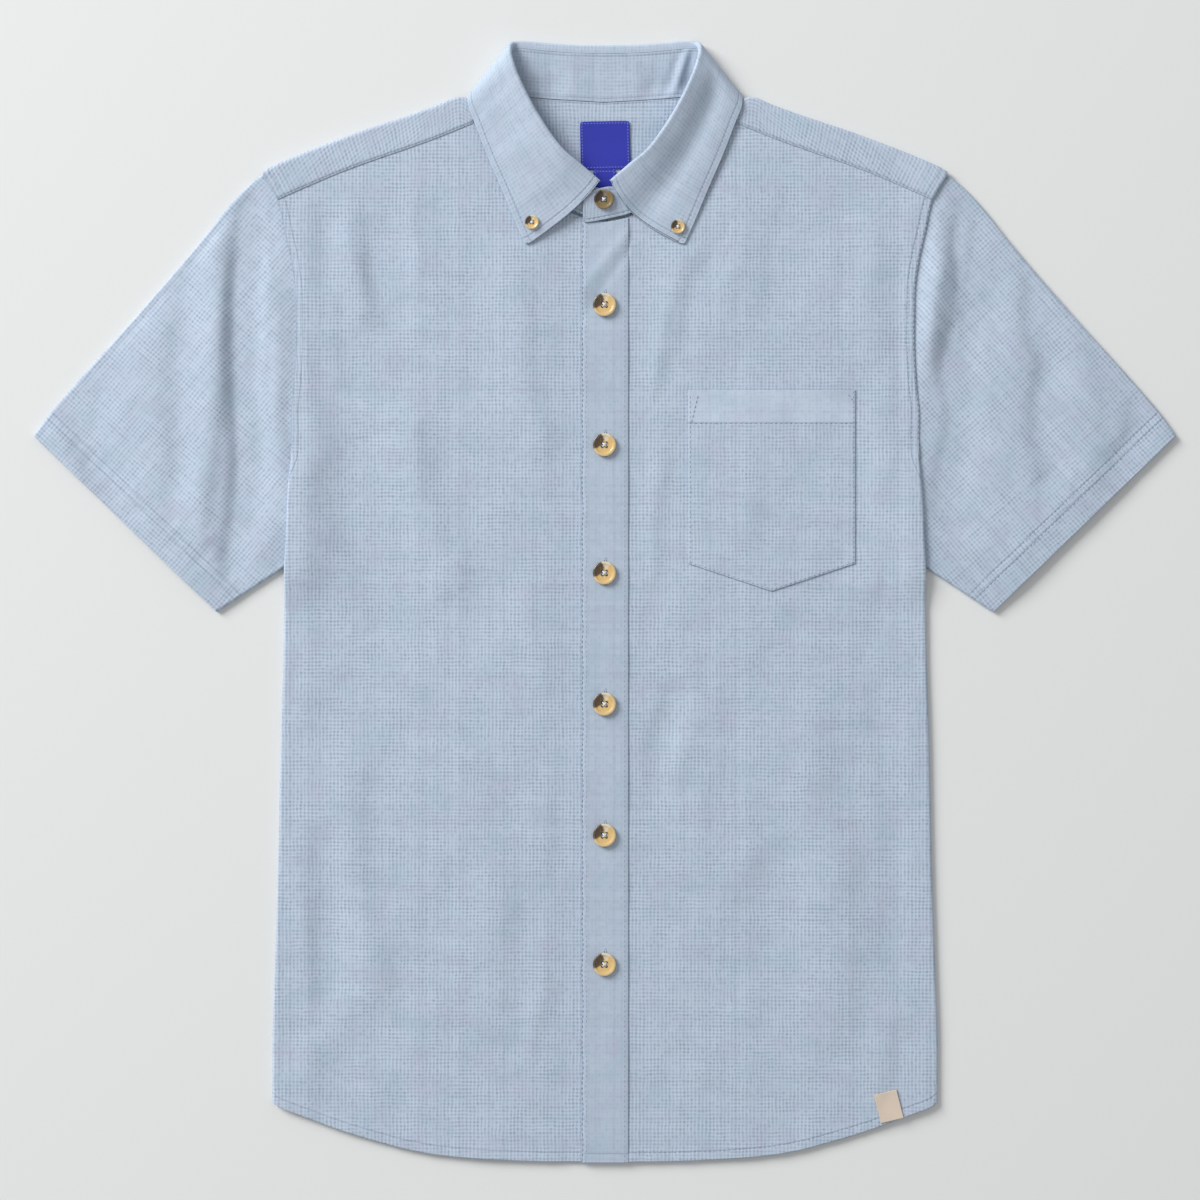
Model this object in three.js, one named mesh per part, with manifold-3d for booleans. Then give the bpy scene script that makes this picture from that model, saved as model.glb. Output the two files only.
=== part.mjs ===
// Short-sleeved fishing shirt lying on its back, front up. Millimetres.
// X runs to the right of the picture, Y to the collar, Z up from the table.
import * as THREE from 'three';
import { mergeVertices } from 'three/addons/utils/BufferGeometryUtils.js';
import Module from 'manifold-3d';

const wasm = await Module();
wasm.setup();

// Cloth and how its layers lie on each other.
const CLOTH = 1.0;
const GAP = 0.3;
const LAYER = CLOTH + GAP;
const ON_TABLE = CLOTH / 2;

// Body.
const FRONT_HEIGHT = 3.2;
const PLACKET_LEFT = -15.8;
const PLACKET_RIGHT = 17.3;
const SIDE_SEAM = 206;
const YOKE_SEAM_BACK = 262;
const FLAT_END = 8;

// Buttons: radius, thickness, hole radius, hole distance from the middle.
const FRONT_BUTTON = { radius: 8.0, thick: 2.8, hole: 0.95, reach: 1.9 };
const STAND_BUTTON = { radius: 6.85, thick: 2.6, hole: 0.85, reach: 1.7 };
const POINT_BUTTON = { radius: 4.85, thick: 2.2, hole: 0.65, reach: 1.2 };
const FRONT_BUTTON_Y = [213.5, 112.7, 20.5, -73.8, -168.1, -261];

// Side of the body: y, half width seen, height of the cloth there, radius of
// the fold, share of the turn-under that is there.
const SIDE = [
  [-405, 239.5, 3.7, 1.6, 1],
  [-356, 239.8, 3.7, 1.6, 1],
  [-323, 239.8, 3.7, 1.6, 1],
  [-251, 237.6, 3.7, 1.6, 1],
  [-179, 235.4, 3.7, 1.6, 1],
  [-107, 234.0, 3.7, 1.6, 1],
  [-35, 231.8, 3.7, 1.6, 1],
  [-6, 231.4, 3.8, 1.6, 1],
  [8, 231.2, 5.6, 1.5, 1],
  [20, 231.1, 7.5, 1.3, 1],
  [45, 230.0, 7.7, 1.3, 0.92],
  [60, 229.4, 7.6, 1.3, 0.78],
  [80, 228.4, 7.2, 1.2, 0.45],
  [92, 227.5, 6.8, 1.0, 0.22],
  [104, 226.4, 6.1, 0.95, 0.06],
  [113, 225.7, 5.4, 0.95, 0],
  [134, 226.1, 4.9, 0.95, 0],
  [158, 223.9, 4.9, 0.95, 0],
  [188, 222.5, 4.9, 0.95, 0],
  [221, 222.8, 4.9, 0.95, 0],
  [243, 225.4, 4.9, 0.95, 0],
  [266, 230.4, 4.9, 0.95, 0],
  [288, 235.4, 4.9, 0.95, 0],
  [307, 247.7, 4.9, 0.95, 0],
];

// Hem and top edge of a front: distance across from the middle, y.
const HEM = [
  [0, -403.8], [43.9, -403.3], [90, -401.4], [117.7, -399.0], [142.2, -394.7],
  [158.4, -390.4], [173.5, -386.1], [187.2, -381.8], [199.8, -377.4],
  [211, -373.1], [222.5, -368.8], [234.7, -364], [240, -360], [247, -357],
  [270, -352],
];
const FRONT_TOP = [
  [0, 273.8], [15, 276.6], [38, 286.9], [62, 299.8], [82.4, 321.6],
  [89.4, 343.0], [90.2, 352.0], [94.3, 352.3], [118.8, 342.4], [190.8, 316.5],
  [235.4, 297.2], [248, 296.5],
];
// Places of the rows of a front, as y at the side.
const FRONT_ROWS = [
  -360, -340, -305, -268, -230, -192, -154, -116, -78, -45, -22, -6, 8, 20,
  34, 50, 66, 80, 92, 104, 116, 140, 170, 200, 230, 258, 280, 297,
];

// Back panel: y and half width, then hem as half width and y.
const BACK_SIDE = [
  [-405, 206], [30, 206], [50, 206], [69, 209], [90, 213], [112, 217],
  [134, 220], [158, 221.5], [188, 221.5], [221, 222], [243, 225], [262, 229],
];
const BACK_HEM = [
  [0, -401], [60, -399], [120, -391], [160, -378], [190, -363], [206, -353],
];

// Yoke. Neck columns: half width at the back seam, at the neck, y of the neck
// edge, share of the turn over the shoulder.
const YOKE_NECK = [
  [0, 0, 359.4, 0], [22, 24, 360.7, 0], [42, 46, 362.2, 0],
  [57, 64, 363.4, 0], [67, 76, 363.8, 0], [73, 83, 363.4, 0],
  [76.5, 87, 362.2, 0.1], [79.5, 90, 361.7, 0.3], [82, 92.4, 361.5, 0.65],
];
// Shoulder columns: half width and y of the shoulder fold.
const SHOULDER = [
  [94.5, 361.4], [99, 361.6], [102.5, 363.2], [108, 362.6], [120, 357.8],
  [135, 352.3], [153.4, 346.1], [175, 338.9], [198, 330.4], [220, 321.9],
  [236, 314.9], [246.2, 310.2],
];
const YOKE_FRONT_SEAM = [
  [94.3, 344.5], [118.8, 334.4], [190.8, 308.5], [235.4, 289.1],
];

// Sleeve: upper edge, underarm edge and the end sewn in the armhole.
const SLEEVE_TOP = [
  [238.3, 311.1], [245.6, 308.0], [253, 302.9], [260.6, 296.2], [273.6, 281.9],
  [296.6, 253.1], [334.1, 209.9], [373, 166.7], [397.6, 138.6], [411.6, 119.6],
];
const SLEEVE_UNDER = [
  [198, 46], [214, 35.6], [230.4, 24.8], [254.9, 8.6], [279.4, -7.6],
];
const SLEEVE_HEAD = [
  [238.3, 311.1], [230, 290], [223, 266], [218, 243], [215, 221],
  [214.5, 188], [215.5, 158], [216, 134], [212, 112], [207, 90], [202, 69],
  [198, 46],
];
const SLEEVE_STATIONS = [
  0, 0.03, 0.06, 0.09, 0.12, 0.16, 0.21, 0.29, 0.4, 0.54, 0.7, 0.86, 1,
];

// Collar leaf: middle of the roll x y z, outer edge x y z, way the outside
// faces in degrees from level.
const LEAF = [
  [0, 398.8, 2.2, 0, 355, 0.6, -90],
  [22, 399.1, 2.2, 24, 355, 0.6, -90],
  [43, 400.6, 2.2, 49, 355.4, 0.6, -90],
  [56, 401.8, 2.3, 74, 357.2, 0.6, -88],
  [62.5, 402.0, 2.8, 89, 360.0, 0.65, -70],
  [65.7, 401.4, 4.3, 96.2, 363.4, 1.5, -38],
  [67.4, 400.0, 7.1, 98.2, 364.2, 3.75, 0],
  [68.3, 396.6, 10.2, 98.8, 361.2, 6.1, 42],
  [67.7, 389.4, 12.0, 97.8, 354.5, 7.0, 78],
  [62.3, 373.5, 12.2, 93.2, 343, 6.9, 90],
  [49.8, 349, 12.2, 84.3, 320, 6.2, 90],
  [33.4, 325.3, 11.4, 74.3, 297, 5.5, 90],
  [18.7, 312.7, 10.3, 65.2, 275, 5.1, 90],
  [4.8, 301, 9.2, 56.9, 256, 4.9, 90],
];
// Neck seam of the stand x y z, in the same rows.
const NECK_SEAM = [
  [0, 359.9, 1.9], [23, 361.1, 1.9], [43, 362.5, 1.9], [60, 363.9, 1.9],
  [72, 364.6, 2.0], [81, 365, 2.4], [86, 363.4, 3.7], [88, 359.6, 5.0],
  [88.4, 354, 5.1], [88, 348, 5.1], [81.4, 326, 5.0], [62.3, 302.3, 4.6],
  [38.3, 288.6, 4.2], [15, 278.6, 3.9],
];
const ROLL_RADIUS = 1.6;
const LEAF_START = 7;
const LEFT_LIFT = 1.5;
// How far the left leaf's front edge bows out, and how far the stand sags under the leaf.
const FRONT_EDGE_BOW = 6.8;
const STAND_SAG = 1.1;
// Ends of the stand past its last row: upper edge x y z, neck edge x y z, with
// x counted from the middle to the far side.
const STAND_END_UPPER = [
  [2, 298.0, 9.0], [-6.5, 295.0, 8.8], [-13.2, 289.6, 8.3],
  [-15.6, 286, 7.8],
];
const STAND_END_LOWER = [
  [2, 275.6, 5.3], [-8, 273.6, 5.3], [-13.6, 275.4, 5.6],
  [-15.6, 280, 6.6],
];
const STAND_TAIL_UPPER = [[2, 297.0, 6.8], [-8, 294.5, 6.0], [-12, 291, 5.8]];
const STAND_TAIL_LOWER = [[2, 277.6, 3.4], [-8, 278.8, 3.2], [-12, 280.2, 3.2]];

// Soft folds: x and y of both ends, half width, rise.
const FOLDS = [
  [-205, 280, -203, 205, 11, -0.9],
  [-184, 288, -180, 205, 12, 0.8],
  [-158, 290, -156, 200, 12, -0.7],
  [-198, 95, -142, -12, 30, -1.0],
  [-150, 130, -110, 30, 20, 0.9],
  [-207, -179, -203, -272, 15, -0.8],
  [-185, -120, -170, -280, 16, 0.6],
  [-228, -340, -206, -318, 12, 0.8],
  [-100, -120, -80, -300, 22, 0.6],
  [-70, 240, -48, 120, 14, 0.6],
  [61, 246, 26, 152, 10, 0.7],
  [40, 100, 27, 20, 10, 0.6],
  [48, -71, 32, -143, 12, -0.7],
  [119, -170, 128, -240, 26, -0.6],
  [150, -90, 165, -300, 24, 0.7],
  [204, -60, 210, -250, 14, -0.6],
  [190, 270, 196, 190, 14, 0.8],
  [-259, 296, -262, 190, 8, -1.4],
  [-262, 190, -266, 36, 8, -1.4],
  [-274, 270, -284, 60, 9, 0.5],
  [-378, 110, -350, 62, 12, -0.5],
  [-395, 118, -372, 66, 9, 0.5],
  [-318, 200, -330, 60, 16, 0.5],
  [252, 292, 241, 217, 9, -1.1],
  [241, 217, 233, 120, 9, -1.2],
  [268, 270, 262, 60, 11, 0.6],
  [302, 246, 317, 73, 12, -0.8],
  [330, 200, 345, 60, 14, 0.5],
  [385, 140, 372, 100, 10, -0.5],
];

// Pocket, tabs and labels: corners in the plan.
const POCKET = { left: 59.8, right: 180.1, top: 152.3, side: 27.4, foot: 7.4 };
const NECK_LABEL = { left: -17.4, right: 18.4, bottom: 311.6, top: 346 };
const SIZE_TAB = { left: -8.3, right: 7.9, bottom: 293.5, top: 311.0 };
const HEM_TAB = { x: 204.2, y: -363.4, wide: 16.7, tall: 21.0, turn: 14 };

const COLORS = {
  cloth: [0xb0bcce, 0.92],
  horn: [0xa8703a, 0.35],
  label: [0x3848ac, 0.8],
  tab: [0xded0be, 0.85],
};

const clamp = (value, low, high) => Math.min(high, Math.max(low, value));
const mix = (a, b, share) => a + share * (b - a);

function ease(value, from, to) {
  const share = clamp((value - from) / (to - from), 0, 1);
  return share * share * (3 - 2 * share);
}

// Reads a column of a table whose first column rises.
function look(table, key, column = 1) {
  const last = table.length - 1;
  if (key <= table[0][0]) {
    return table[0][column];
  }
  if (key >= table[last][0]) {
    return table[last][column];
  }
  let row = 0;
  while (table[row + 1][0] < key) {
    row += 1;
  }
  const [a, b] = [table[row], table[row + 1]];
  return mix(a[column], b[column], (key - a[0]) / (b[0] - a[0]));
}

// Point at a share of the length of a row of points.
function alongLine(points, share) {
  const sums = [0];
  for (let i = 1; i < points.length; i += 1) {
    const [a, b] = [points[i - 1], points[i]];
    sums.push(sums[i - 1] + Math.hypot(b[0] - a[0], b[1] - a[1]));
  }
  const goal = clamp(share, 0, 1) * sums[sums.length - 1];
  let i = 1;
  while (i < points.length - 1 && sums[i] < goal) {
    i += 1;
  }
  const part = (goal - sums[i - 1]) / (sums[i] - sums[i - 1]);
  return points[i].map((value, k) => mix(points[i - 1][k], value, part));
}

// Smooth reading between the rows of a table at a fractional row.
function between(rows, place) {
  const i = clamp(Math.floor(place), 0, rows.length - 2);
  const s = place - i;
  const pick = (k) => rows[clamp(k, 0, rows.length - 1)];
  const [a, b, c, d] = [pick(i - 1), pick(i), pick(i + 1), pick(i + 2)];
  return b.map((value, k) => {
    const slopeB = (c[k] - a[k]) / 2;
    const slopeC = (d[k] - b[k]) / 2;
    const t2 = s * s;
    const t3 = t2 * s;
    return value * (2 * t3 - 3 * t2 + 1) + slopeB * (t3 - 2 * t2 + s)
      + c[k] * (3 * t2 - 2 * t3) + slopeC * (t3 - t2);
  });
}

function foldsAt(x, y) {
  let rise = 0;
  for (const [x1, y1, x2, y2, wide, high] of FOLDS) {
    const [dx, dy] = [x2 - x1, y2 - y1];
    const part = clamp(((x - x1) * dx + (y - y1) * dy) / (dx * dx + dy * dy), 0, 1);
    const away = Math.hypot(x - x1 - part * dx, y - y1 - part * dy) / wide;
    rise += high * Math.exp(-away * away);
  }
  return rise;
}

// Height of the middle of the front cloth.
function frontHeight(x, y) {
  const half = Math.abs(x);
  const edge = look(SIDE, y, 1);
  const atSide = ease(half, edge - 46, edge - 9);
  const nearPlacket = ease(half, 20, 45);
  const nearYoke = ease(y, 255, 300) * ease(half, 70, 100);
  const raise = 0.8 * nearYoke * (1 - atSide);
  const plain = FRONT_HEIGHT + raise;
  const soft = foldsAt(x, y) * (1 - atSide) * nearPlacket * (1 - nearYoke);
  return mix(plain, look(SIDE, y, 2), atSide) + soft;
}

// A sheet that runs flat to a crest, round it and back: place and height at a
// length measured along it.
function rolled(length, flatEnd, radius, near, far) {
  const turn = (length - flatEnd) / radius;
  if (turn <= 0) {
    return { place: length, height: near };
  }
  const middle = (near + far) / 2;
  if (turn < Math.PI) {
    const height = middle + (near - middle) * Math.cos(turn);
    return { place: flatEnd + radius * Math.sin(turn), height };
  }
  return { place: flatEnd - (turn - Math.PI) * radius, height: far };
}

// Lengths past the flat part at which the columns of a fold stand.
function foldStops(reach, radius, count) {
  const arc = Math.PI * radius;
  const wanted = [FLAT_END / 2, FLAT_END, FLAT_END + 0.2 * arc,
    FLAT_END + 0.42 * arc, FLAT_END + 0.68 * arc, FLAT_END + arc];
  const stops = [];
  for (let i = 1; i <= count; i += 1) {
    const even = reach * i / count;
    stops.push(i <= wanted.length ? Math.min(even, wanted[i - 1]) : even);
  }
  return stops;
}

// Closes a grid of points, the middle of the cloth, into a wall.
function wall(grid, ring = false, thick = CLOTH) {
  const rows = grid.length;
  const columns = grid[0].length;
  const at = (i, j) => {
    const row = clamp(i, 0, rows - 1);
    const column = ring ? (j + columns) % columns : clamp(j, 0, columns - 1);
    return grid[row][column];
  };
  const points = [];
  for (const side of [0.5, -0.5]) {
    for (let i = 0; i < rows; i += 1) {
      for (let j = 0; j < columns; j += 1) {
        const down = new THREE.Vector3().subVectors(at(i + 1, j), at(i - 1, j));
        const over = new THREE.Vector3().subVectors(at(i, j + 1), at(i, j - 1));
        const normal = over.cross(down).normalize();
        points.push(at(i, j).clone().addScaledVector(normal, side * thick));
      }
    }
  }
  const index = (side, i, j) => (side * rows + i) * columns + (ring ? j % columns : j);
  const faces = [];
  const quad = (a, b, c, d) => faces.push([a, b, c], [a, c, d]);
  const spans = ring ? columns : columns - 1;
  for (let i = 0; i < rows - 1; i += 1) {
    for (let j = 0; j < spans; j += 1) {
      quad(index(0, i, j), index(0, i, j + 1), index(0, i + 1, j + 1), index(0, i + 1, j));
      quad(index(1, i, j), index(1, i + 1, j), index(1, i + 1, j + 1), index(1, i, j + 1));
    }
  }
  for (let j = 0; j < spans; j += 1) {
    const end = rows - 1;
    quad(index(0, 0, j + 1), index(0, 0, j), index(1, 0, j), index(1, 0, j + 1));
    quad(index(0, end, j), index(0, end, j + 1), index(1, end, j + 1), index(1, end, j));
  }
  if (!ring) {
    for (let i = 0; i < rows - 1; i += 1) {
      const end = columns - 1;
      quad(index(0, i, 0), index(0, i + 1, 0), index(1, i + 1, 0), index(1, i, 0));
      quad(index(0, i + 1, end), index(0, i, end), index(1, i, end), index(1, i + 1, end));
    }
  }
  return faced(points, faces);
}

// Geometry of a closed body, its faces turned outwards.
function faced(points, faces) {
  let volume = 0;
  for (const [a, b, c] of faces) {
    const cross = new THREE.Vector3().crossVectors(points[b], points[c]);
    volume += points[a].dot(cross);
  }
  const turned = volume < 0 ? faces.map(([a, b, c]) => [a, c, b]) : faces;
  const geometry = new THREE.BufferGeometry();
  const flat = points.flatMap((point) => [point.x, point.y, point.z]);
  geometry.setAttribute('position', new THREE.Float32BufferAttribute(flat, 3));
  geometry.setIndex(turned.flat());
  geometry.computeVertexNormals();
  return geometry;
}

function gridOf(rows, columns, point) {
  const grid = [];
  for (let i = 0; i < rows; i += 1) {
    const line = [];
    for (let j = 0; j < columns; j += 1) {
      line.push(new THREE.Vector3(...point(i, j)));
    }
    grid.push(line);
  }
  return grid;
}

// One front. side is -1 for the wearer's right one, 1 for the left one.
function frontPanel(side) {
  const start = side < 0 ? -16 : PLACKET_LEFT + 1;
  const flatColumns = 13;
  const foldColumns = 9;
  const grid = gridOf(FRONT_ROWS.length, flatColumns + foldColumns, (i, j) => {
    const share = (FRONT_ROWS[i] - FRONT_ROWS[0]) / (FRONT_ROWS[FRONT_ROWS.length - 1] - FRONT_ROWS[0]);
    const yAt = (across) => mix(look(HEM, Math.abs(across)), look(FRONT_TOP, Math.abs(across)), share);
    let y = FRONT_ROWS[i];
    let length = 0;
    for (let turn = 0; turn < 4; turn += 1) {
      const edge = look(SIDE, y, 1);
      const radius = look(SIDE, y, 3);
      const turned = look(SIDE, y, 4);
      const under = turned * (Math.PI * radius + edge - 0.5 - radius - SIDE_SEAM - GAP);
      const bend = Math.min(1, under / (radius * 1.5));
      const flatEnd = edge - bend * (CLOTH / 2 + radius);
      const stops = foldStops(FLAT_END + under, radius, foldColumns);
      length = j < flatColumns
        ? mix(start, flatEnd - FLAT_END, j / (flatColumns - 1))
        : flatEnd - FLAT_END + stops[j - flatColumns];
      y = yAt(length);
    }
    const edge = look(SIDE, y, 1);
    const radius = look(SIDE, y, 3);
    const under = look(SIDE, y, 4) * (Math.PI * radius + edge - 0.5 - radius - SIDE_SEAM - GAP);
    const bend = Math.min(1, under / (radius * 1.5));
    const flatEnd = edge - bend * (CLOTH / 2 + radius);
    const near = frontHeight(side * Math.min(length, flatEnd), y);
    const { place, height } = rolled(length, flatEnd, radius, near, near - 2 * radius);
    const dip = side < 0 ? LAYER * (1 - ease(place, 20, 46)) : 0;
    return [side * place, y, height - dip];
  });
  return wall(grid);
}

function backPanel() {
  const columns = 15;
  const rows = 18;
  return wall(gridOf(rows, columns, (i, j) => {
    const across = mix(-1, 1, j / (columns - 1));
    let y = mix(-400, YOKE_SEAM_BACK, i / (rows - 1));
    let x = 0;
    for (let turn = 0; turn < 3; turn += 1) {
      x = across * look(BACK_SIDE, y);
      y = mix(look(BACK_HEM, Math.abs(x)), YOKE_SEAM_BACK - GAP, i / (rows - 1));
    }
    return [x, y, ON_TABLE];
  }));
}

function yokeBackHeight(x, y) {
  const half = Math.abs(x);
  return ON_TABLE + 1.4 * ease(y, 328, 351) * (1 - ease(half, 99, 118));
}

function yoke() {
  const half = [...YOKE_NECK];
  for (const [x, y] of SHOULDER) {
    half.push([mix(84, 229, (x - 94.5) / 151.7), x, y, 1]);
  }
  const lines = [...half.slice(1).reverse().map((row) => [...row, -1]), ...half.map((row) => [...row, 1])];
  const flatRows = 7;
  const foldRows = 8;
  return wall(gridOf(flatRows + foldRows, lines.length, (i, j) => {
    const [seamX, crestX, crestY, turned, side] = lines[j];
    const endX = crestX < 94.5 ? crestX : mix(94.3, 235.4, (crestX - 94.5) / 151.7);
    const endY = look(YOKE_FRONT_SEAM, endX);
    const far = frontHeight(side * mix(crestX, endX, 0.3), crestY - 6) + LAYER;
    const near = yokeBackHeight(crestX, crestY - 3);
    const radius = (far - near) / 2;
    const flatEnd = turned > 0 ? crestY - radius : crestY;
    const reach = FLAT_END + turned * (Math.PI * radius + flatEnd - endY);
    const stops = foldStops(reach, radius, foldRows);
    const length = i < flatRows
      ? mix(YOKE_SEAM_BACK, flatEnd - FLAT_END, i / (flatRows - 1))
      : flatEnd - FLAT_END + stops[i - flatRows];
    const { place, height } = rolled(length, flatEnd, radius, near, far);
    const past = Math.max(0, length - flatEnd - Math.PI * radius);
    const x = length < flatEnd
      ? mix(seamX, crestX, (length - YOKE_SEAM_BACK) / (flatEnd - YOKE_SEAM_BACK))
      : mix(crestX, endX, past / (flatEnd - endY));
    let z = height;
    if (length < flatEnd) {
      z = yokeBackHeight(x, place) + (near - yokeBackHeight(crestX, crestY - 3));
    }
    if (past > 0) {
      const here = frontHeight(side * x, place) + LAYER;
      z = mix(height, here, ease(past, 0, 9));
    }
    return [side * x, place, z];
  }));
}

// One sleeve, a flattened tube from the armhole to the cuff.
function sleeve(side) {
  const upper = 12;
  const lower = 6;
  const curl = 3;
  const ring = [];
  for (let k = 0; k <= upper; k += 1) {
    ring.push(['upper', k / upper]);
  }
  for (let k = 1; k <= curl; k += 1) {
    ring.push(['under arm', k / (curl + 1)]);
  }
  for (let k = 0; k <= lower; k += 1) {
    ring.push(['lower', 1 - k / lower]);
  }
  for (let k = 1; k <= curl; k += 1) {
    ring.push(['over arm', k / (curl + 1)]);
  }
  const cuff = [SLEEVE_TOP[SLEEVE_TOP.length - 1], SLEEVE_UNDER[SLEEVE_UNDER.length - 1]];
  const plan = (station, share) => {
    const over = alongLine(SLEEVE_TOP, station);
    const under = alongLine(SLEEVE_UNDER, station);
    const head = alongLine(SLEEVE_HEAD, share);
    const end = alongLine(cuff, share);
    return [0, 1].map((k) => mix(head[k], end[k], station)
      + (1 - share) * (over[k] - mix(SLEEVE_HEAD[0][k], cuff[0][k], station))
      + share * (under[k] - mix(SLEEVE_HEAD[SLEEVE_HEAD.length - 1][k], cuff[1][k], station)));
  };
  const heights = (station, share) => {
    const inside = station * mix(273, 98, share);
    const low = ON_TABLE + LAYER * (1 - ease(inside, 11, 24));
    const [x, y] = plan(station, share);
    const free = ease(inside, 9, 18) * (1 - 0.5 * ease(station, 0.9, 1));
    const edges = ease(share, 0, 0.06) * (1 - ease(share, 0.9, 1));
    const high = mix(3.5, 3.3, ease(inside, 12, 30)) + foldsAt(side * x, y) * free * edges;
    return [low, Math.max(high, low + 1.5)];
  };
  const grid = gridOf(SLEEVE_STATIONS.length, ring.length, (i, j) => {
    const station = SLEEVE_STATIONS[i];
    const [a, b] = [plan(station, 0), plan(station, 1)];
    const span = Math.hypot(b[0] - a[0], b[1] - a[1]);
    const [layer, share] = ring[j];
    const radiusAt = (end) => {
      const [low, high] = heights(station, end);
      return (high - low) / 2;
    };
    const from = (CLOTH / 2 + radiusAt(0)) / span;
    const to = 1 - (CLOTH / 2 + radiusAt(1)) / span;
    let place = mix(from, to, share);
    let z = 0;
    if (layer === 'upper' || layer === 'lower') {
      z = heights(station, place)[layer === 'upper' ? 1 : 0];
    } else {
      const end = layer === 'under arm' ? 1 : 0;
      const [low, high] = heights(station, end ? to : from);
      const radius = (high - low) / 2;
      const turn = Math.PI * share;
      const out = radius * Math.sin(turn) / span;
      place = end ? to + out : from - out;
      z = (high + low) / 2 + (end ? 1 : -1) * radius * Math.cos(turn);
    }
    const [x, y] = plan(station, place);
    return [side * x, y, z];
  });
  return wall(grid, true);
}

// Frame of the collar at a fractional row: roll, edge, the way to the edge and
// the way the outside faces.
function collarFrame(place, side) {
  const row = between(LEAF, place);
  const lift = side > 0 ? LEFT_LIFT * ease(place, 10, 13) : 0;
  const roll = new THREE.Vector3(side * row[0], row[1], row[2] + lift);
  const edge = new THREE.Vector3(side * row[3], row[4], row[5]);
  const way = new THREE.Vector3(edge.x - roll.x, edge.y - roll.y, 0).normalize();
  const face = THREE.MathUtils.degToRad(row[6]);
  const outward = new THREE.Vector3(side * Math.abs(way.y), Math.abs(way.x), 0);
  const normal = outward.multiplyScalar(Math.cos(face)).add(new THREE.Vector3(0, 0, Math.sin(face)));
  return { roll, edge, way, normal, lift };
}

function leafPoint(place, side, share) {
  const { roll, edge, way, normal } = collarFrame(place, side);
  const start = new THREE.Vector3().copy(roll).addScaledVector(normal, -ROLL_RADIUS);
  const stops = [0, 0.5, 1];
  if (share < 3) {
    return start.addScaledVector(way, LEAF_START * (1 - stops[share]));
  }
  if (share < 6) {
    const turn = Math.PI * (share - 2) / 4;
    return roll.addScaledVector(way, -ROLL_RADIUS * Math.sin(turn))
      .addScaledVector(normal, -ROLL_RADIUS * Math.cos(turn));
  }
  return leafFace(place, side, (share - 6) / 4);
}

// Middle of the leaf's visible half, from the roll (0) to its edge (1).
function leafFace(place, side, part) {
  const { roll, edge, normal } = collarFrame(place, side);
  const from = roll.addScaledVector(normal, ROLL_RADIUS);
  const sag = ease(place, 7.5, 9) * (side > 0 ? 0.9 : 0.2) * Math.sin(Math.PI * part);
  const full = side > 0 ? FRONT_EDGE_BOW * ease(place, 10.5, 13) * Math.sin(Math.PI * part ** 0.75) : 0;
  return from.lerp(edge, part).add(new THREE.Vector3(-0.654 * full, -0.757 * full, -sag));
}

// Rows of the collar from the right front end to the left front end.
function collarPlaces(step) {
  const last = LEAF.length - 1;
  const half = [];
  for (let place = last; place > 0.01; place -= place > 2.99 ? step : 1) {
    half.push(place);
  }
  return [...half.map((place) => [place, -1]), [0, 1], ...half.reverse().map((place) => [place, 1])];
}

function collarLeaf() {
  const places = collarPlaces(0.5);
  return wall(gridOf(places.length, 11, (i, j) => {
    const [place, side] = places[i];
    return leafPoint(place, side, j).toArray();
  }));
}

function standLine(place, side) {
  const { roll, way, normal, lift } = collarFrame(place, side);
  const [x, y, z] = between(NECK_SEAM, place);
  const upper = roll.addScaledVector(normal, -ROLL_RADIUS).addScaledVector(way, LEAF_START + 0.45);
  const lower = new THREE.Vector3(side * x, y, z + lift);
  return [upper, lower];
}

function collarStand() {
  const places = collarPlaces(0.5);
  const lines = places.map(([place, side]) => standLine(place, side));
  const ends = (upper, lower, side) => upper.map((row, k) => [
    new THREE.Vector3(side * row[0], row[1], row[2]),
    new THREE.Vector3(side * lower[k][0], lower[k][1], lower[k][2]),
  ]);
  const all = [
    ...ends(STAND_TAIL_UPPER, STAND_TAIL_LOWER, -1).reverse(),
    ...lines,
    ...ends(STAND_END_UPPER, STAND_END_LOWER, 1),
  ];
  return wall(gridOf(all.length, 5, (i, j) => {
    const [upper, lower] = all[i];
    const place = places[i - STAND_TAIL_UPPER.length]?.[0] ?? 13;
    const sag = STAND_SAG * ease(place, 7.5, 9) * (1 - ease(place, 11.5, 12.8)) * Math.sin(Math.PI * j / 4);
    return upper.clone().lerp(lower, j / 4).add(new THREE.Vector3(0, 0, -sag)).toArray();
  }));
}

// A flat piece on another: its plan is a grid, its height is given.
function patch(rows, columns, place, height) {
  return wall(gridOf(rows, columns, (i, j) => {
    const [x, y] = place(i / (rows - 1), j / (columns - 1));
    return [x, y, height(x, y)];
  }));
}

function placket() {
  return patch(30, 4, (up, over) => {
    const x = mix(PLACKET_LEFT, PLACKET_RIGHT, over);
    const top = look(FRONT_TOP, Math.max(0, x)) - 0.8;
    return [x, mix(-404.2, top, up)];
  }, (x, y) => frontHeight(x, y) + LAYER);
}

function pocket() {
  const middle = (POCKET.left + POCKET.right) / 2;
  const half = (POCKET.right - POCKET.left) / 2;
  return patch(9, 11, (up, over) => {
    const x = mix(POCKET.left, POCKET.right, over);
    const foot = mix(POCKET.foot, POCKET.side, Math.abs(x - middle) / half);
    return [x, mix(foot, POCKET.top, up)];
  }, (x, y) => frontHeight(x, y) + LAYER + 0.25);
}

function tab(box, height) {
  return patch(4, 4, (up, over) => [mix(box.left, box.right, over), mix(box.bottom, box.top, up)], height);
}

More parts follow.
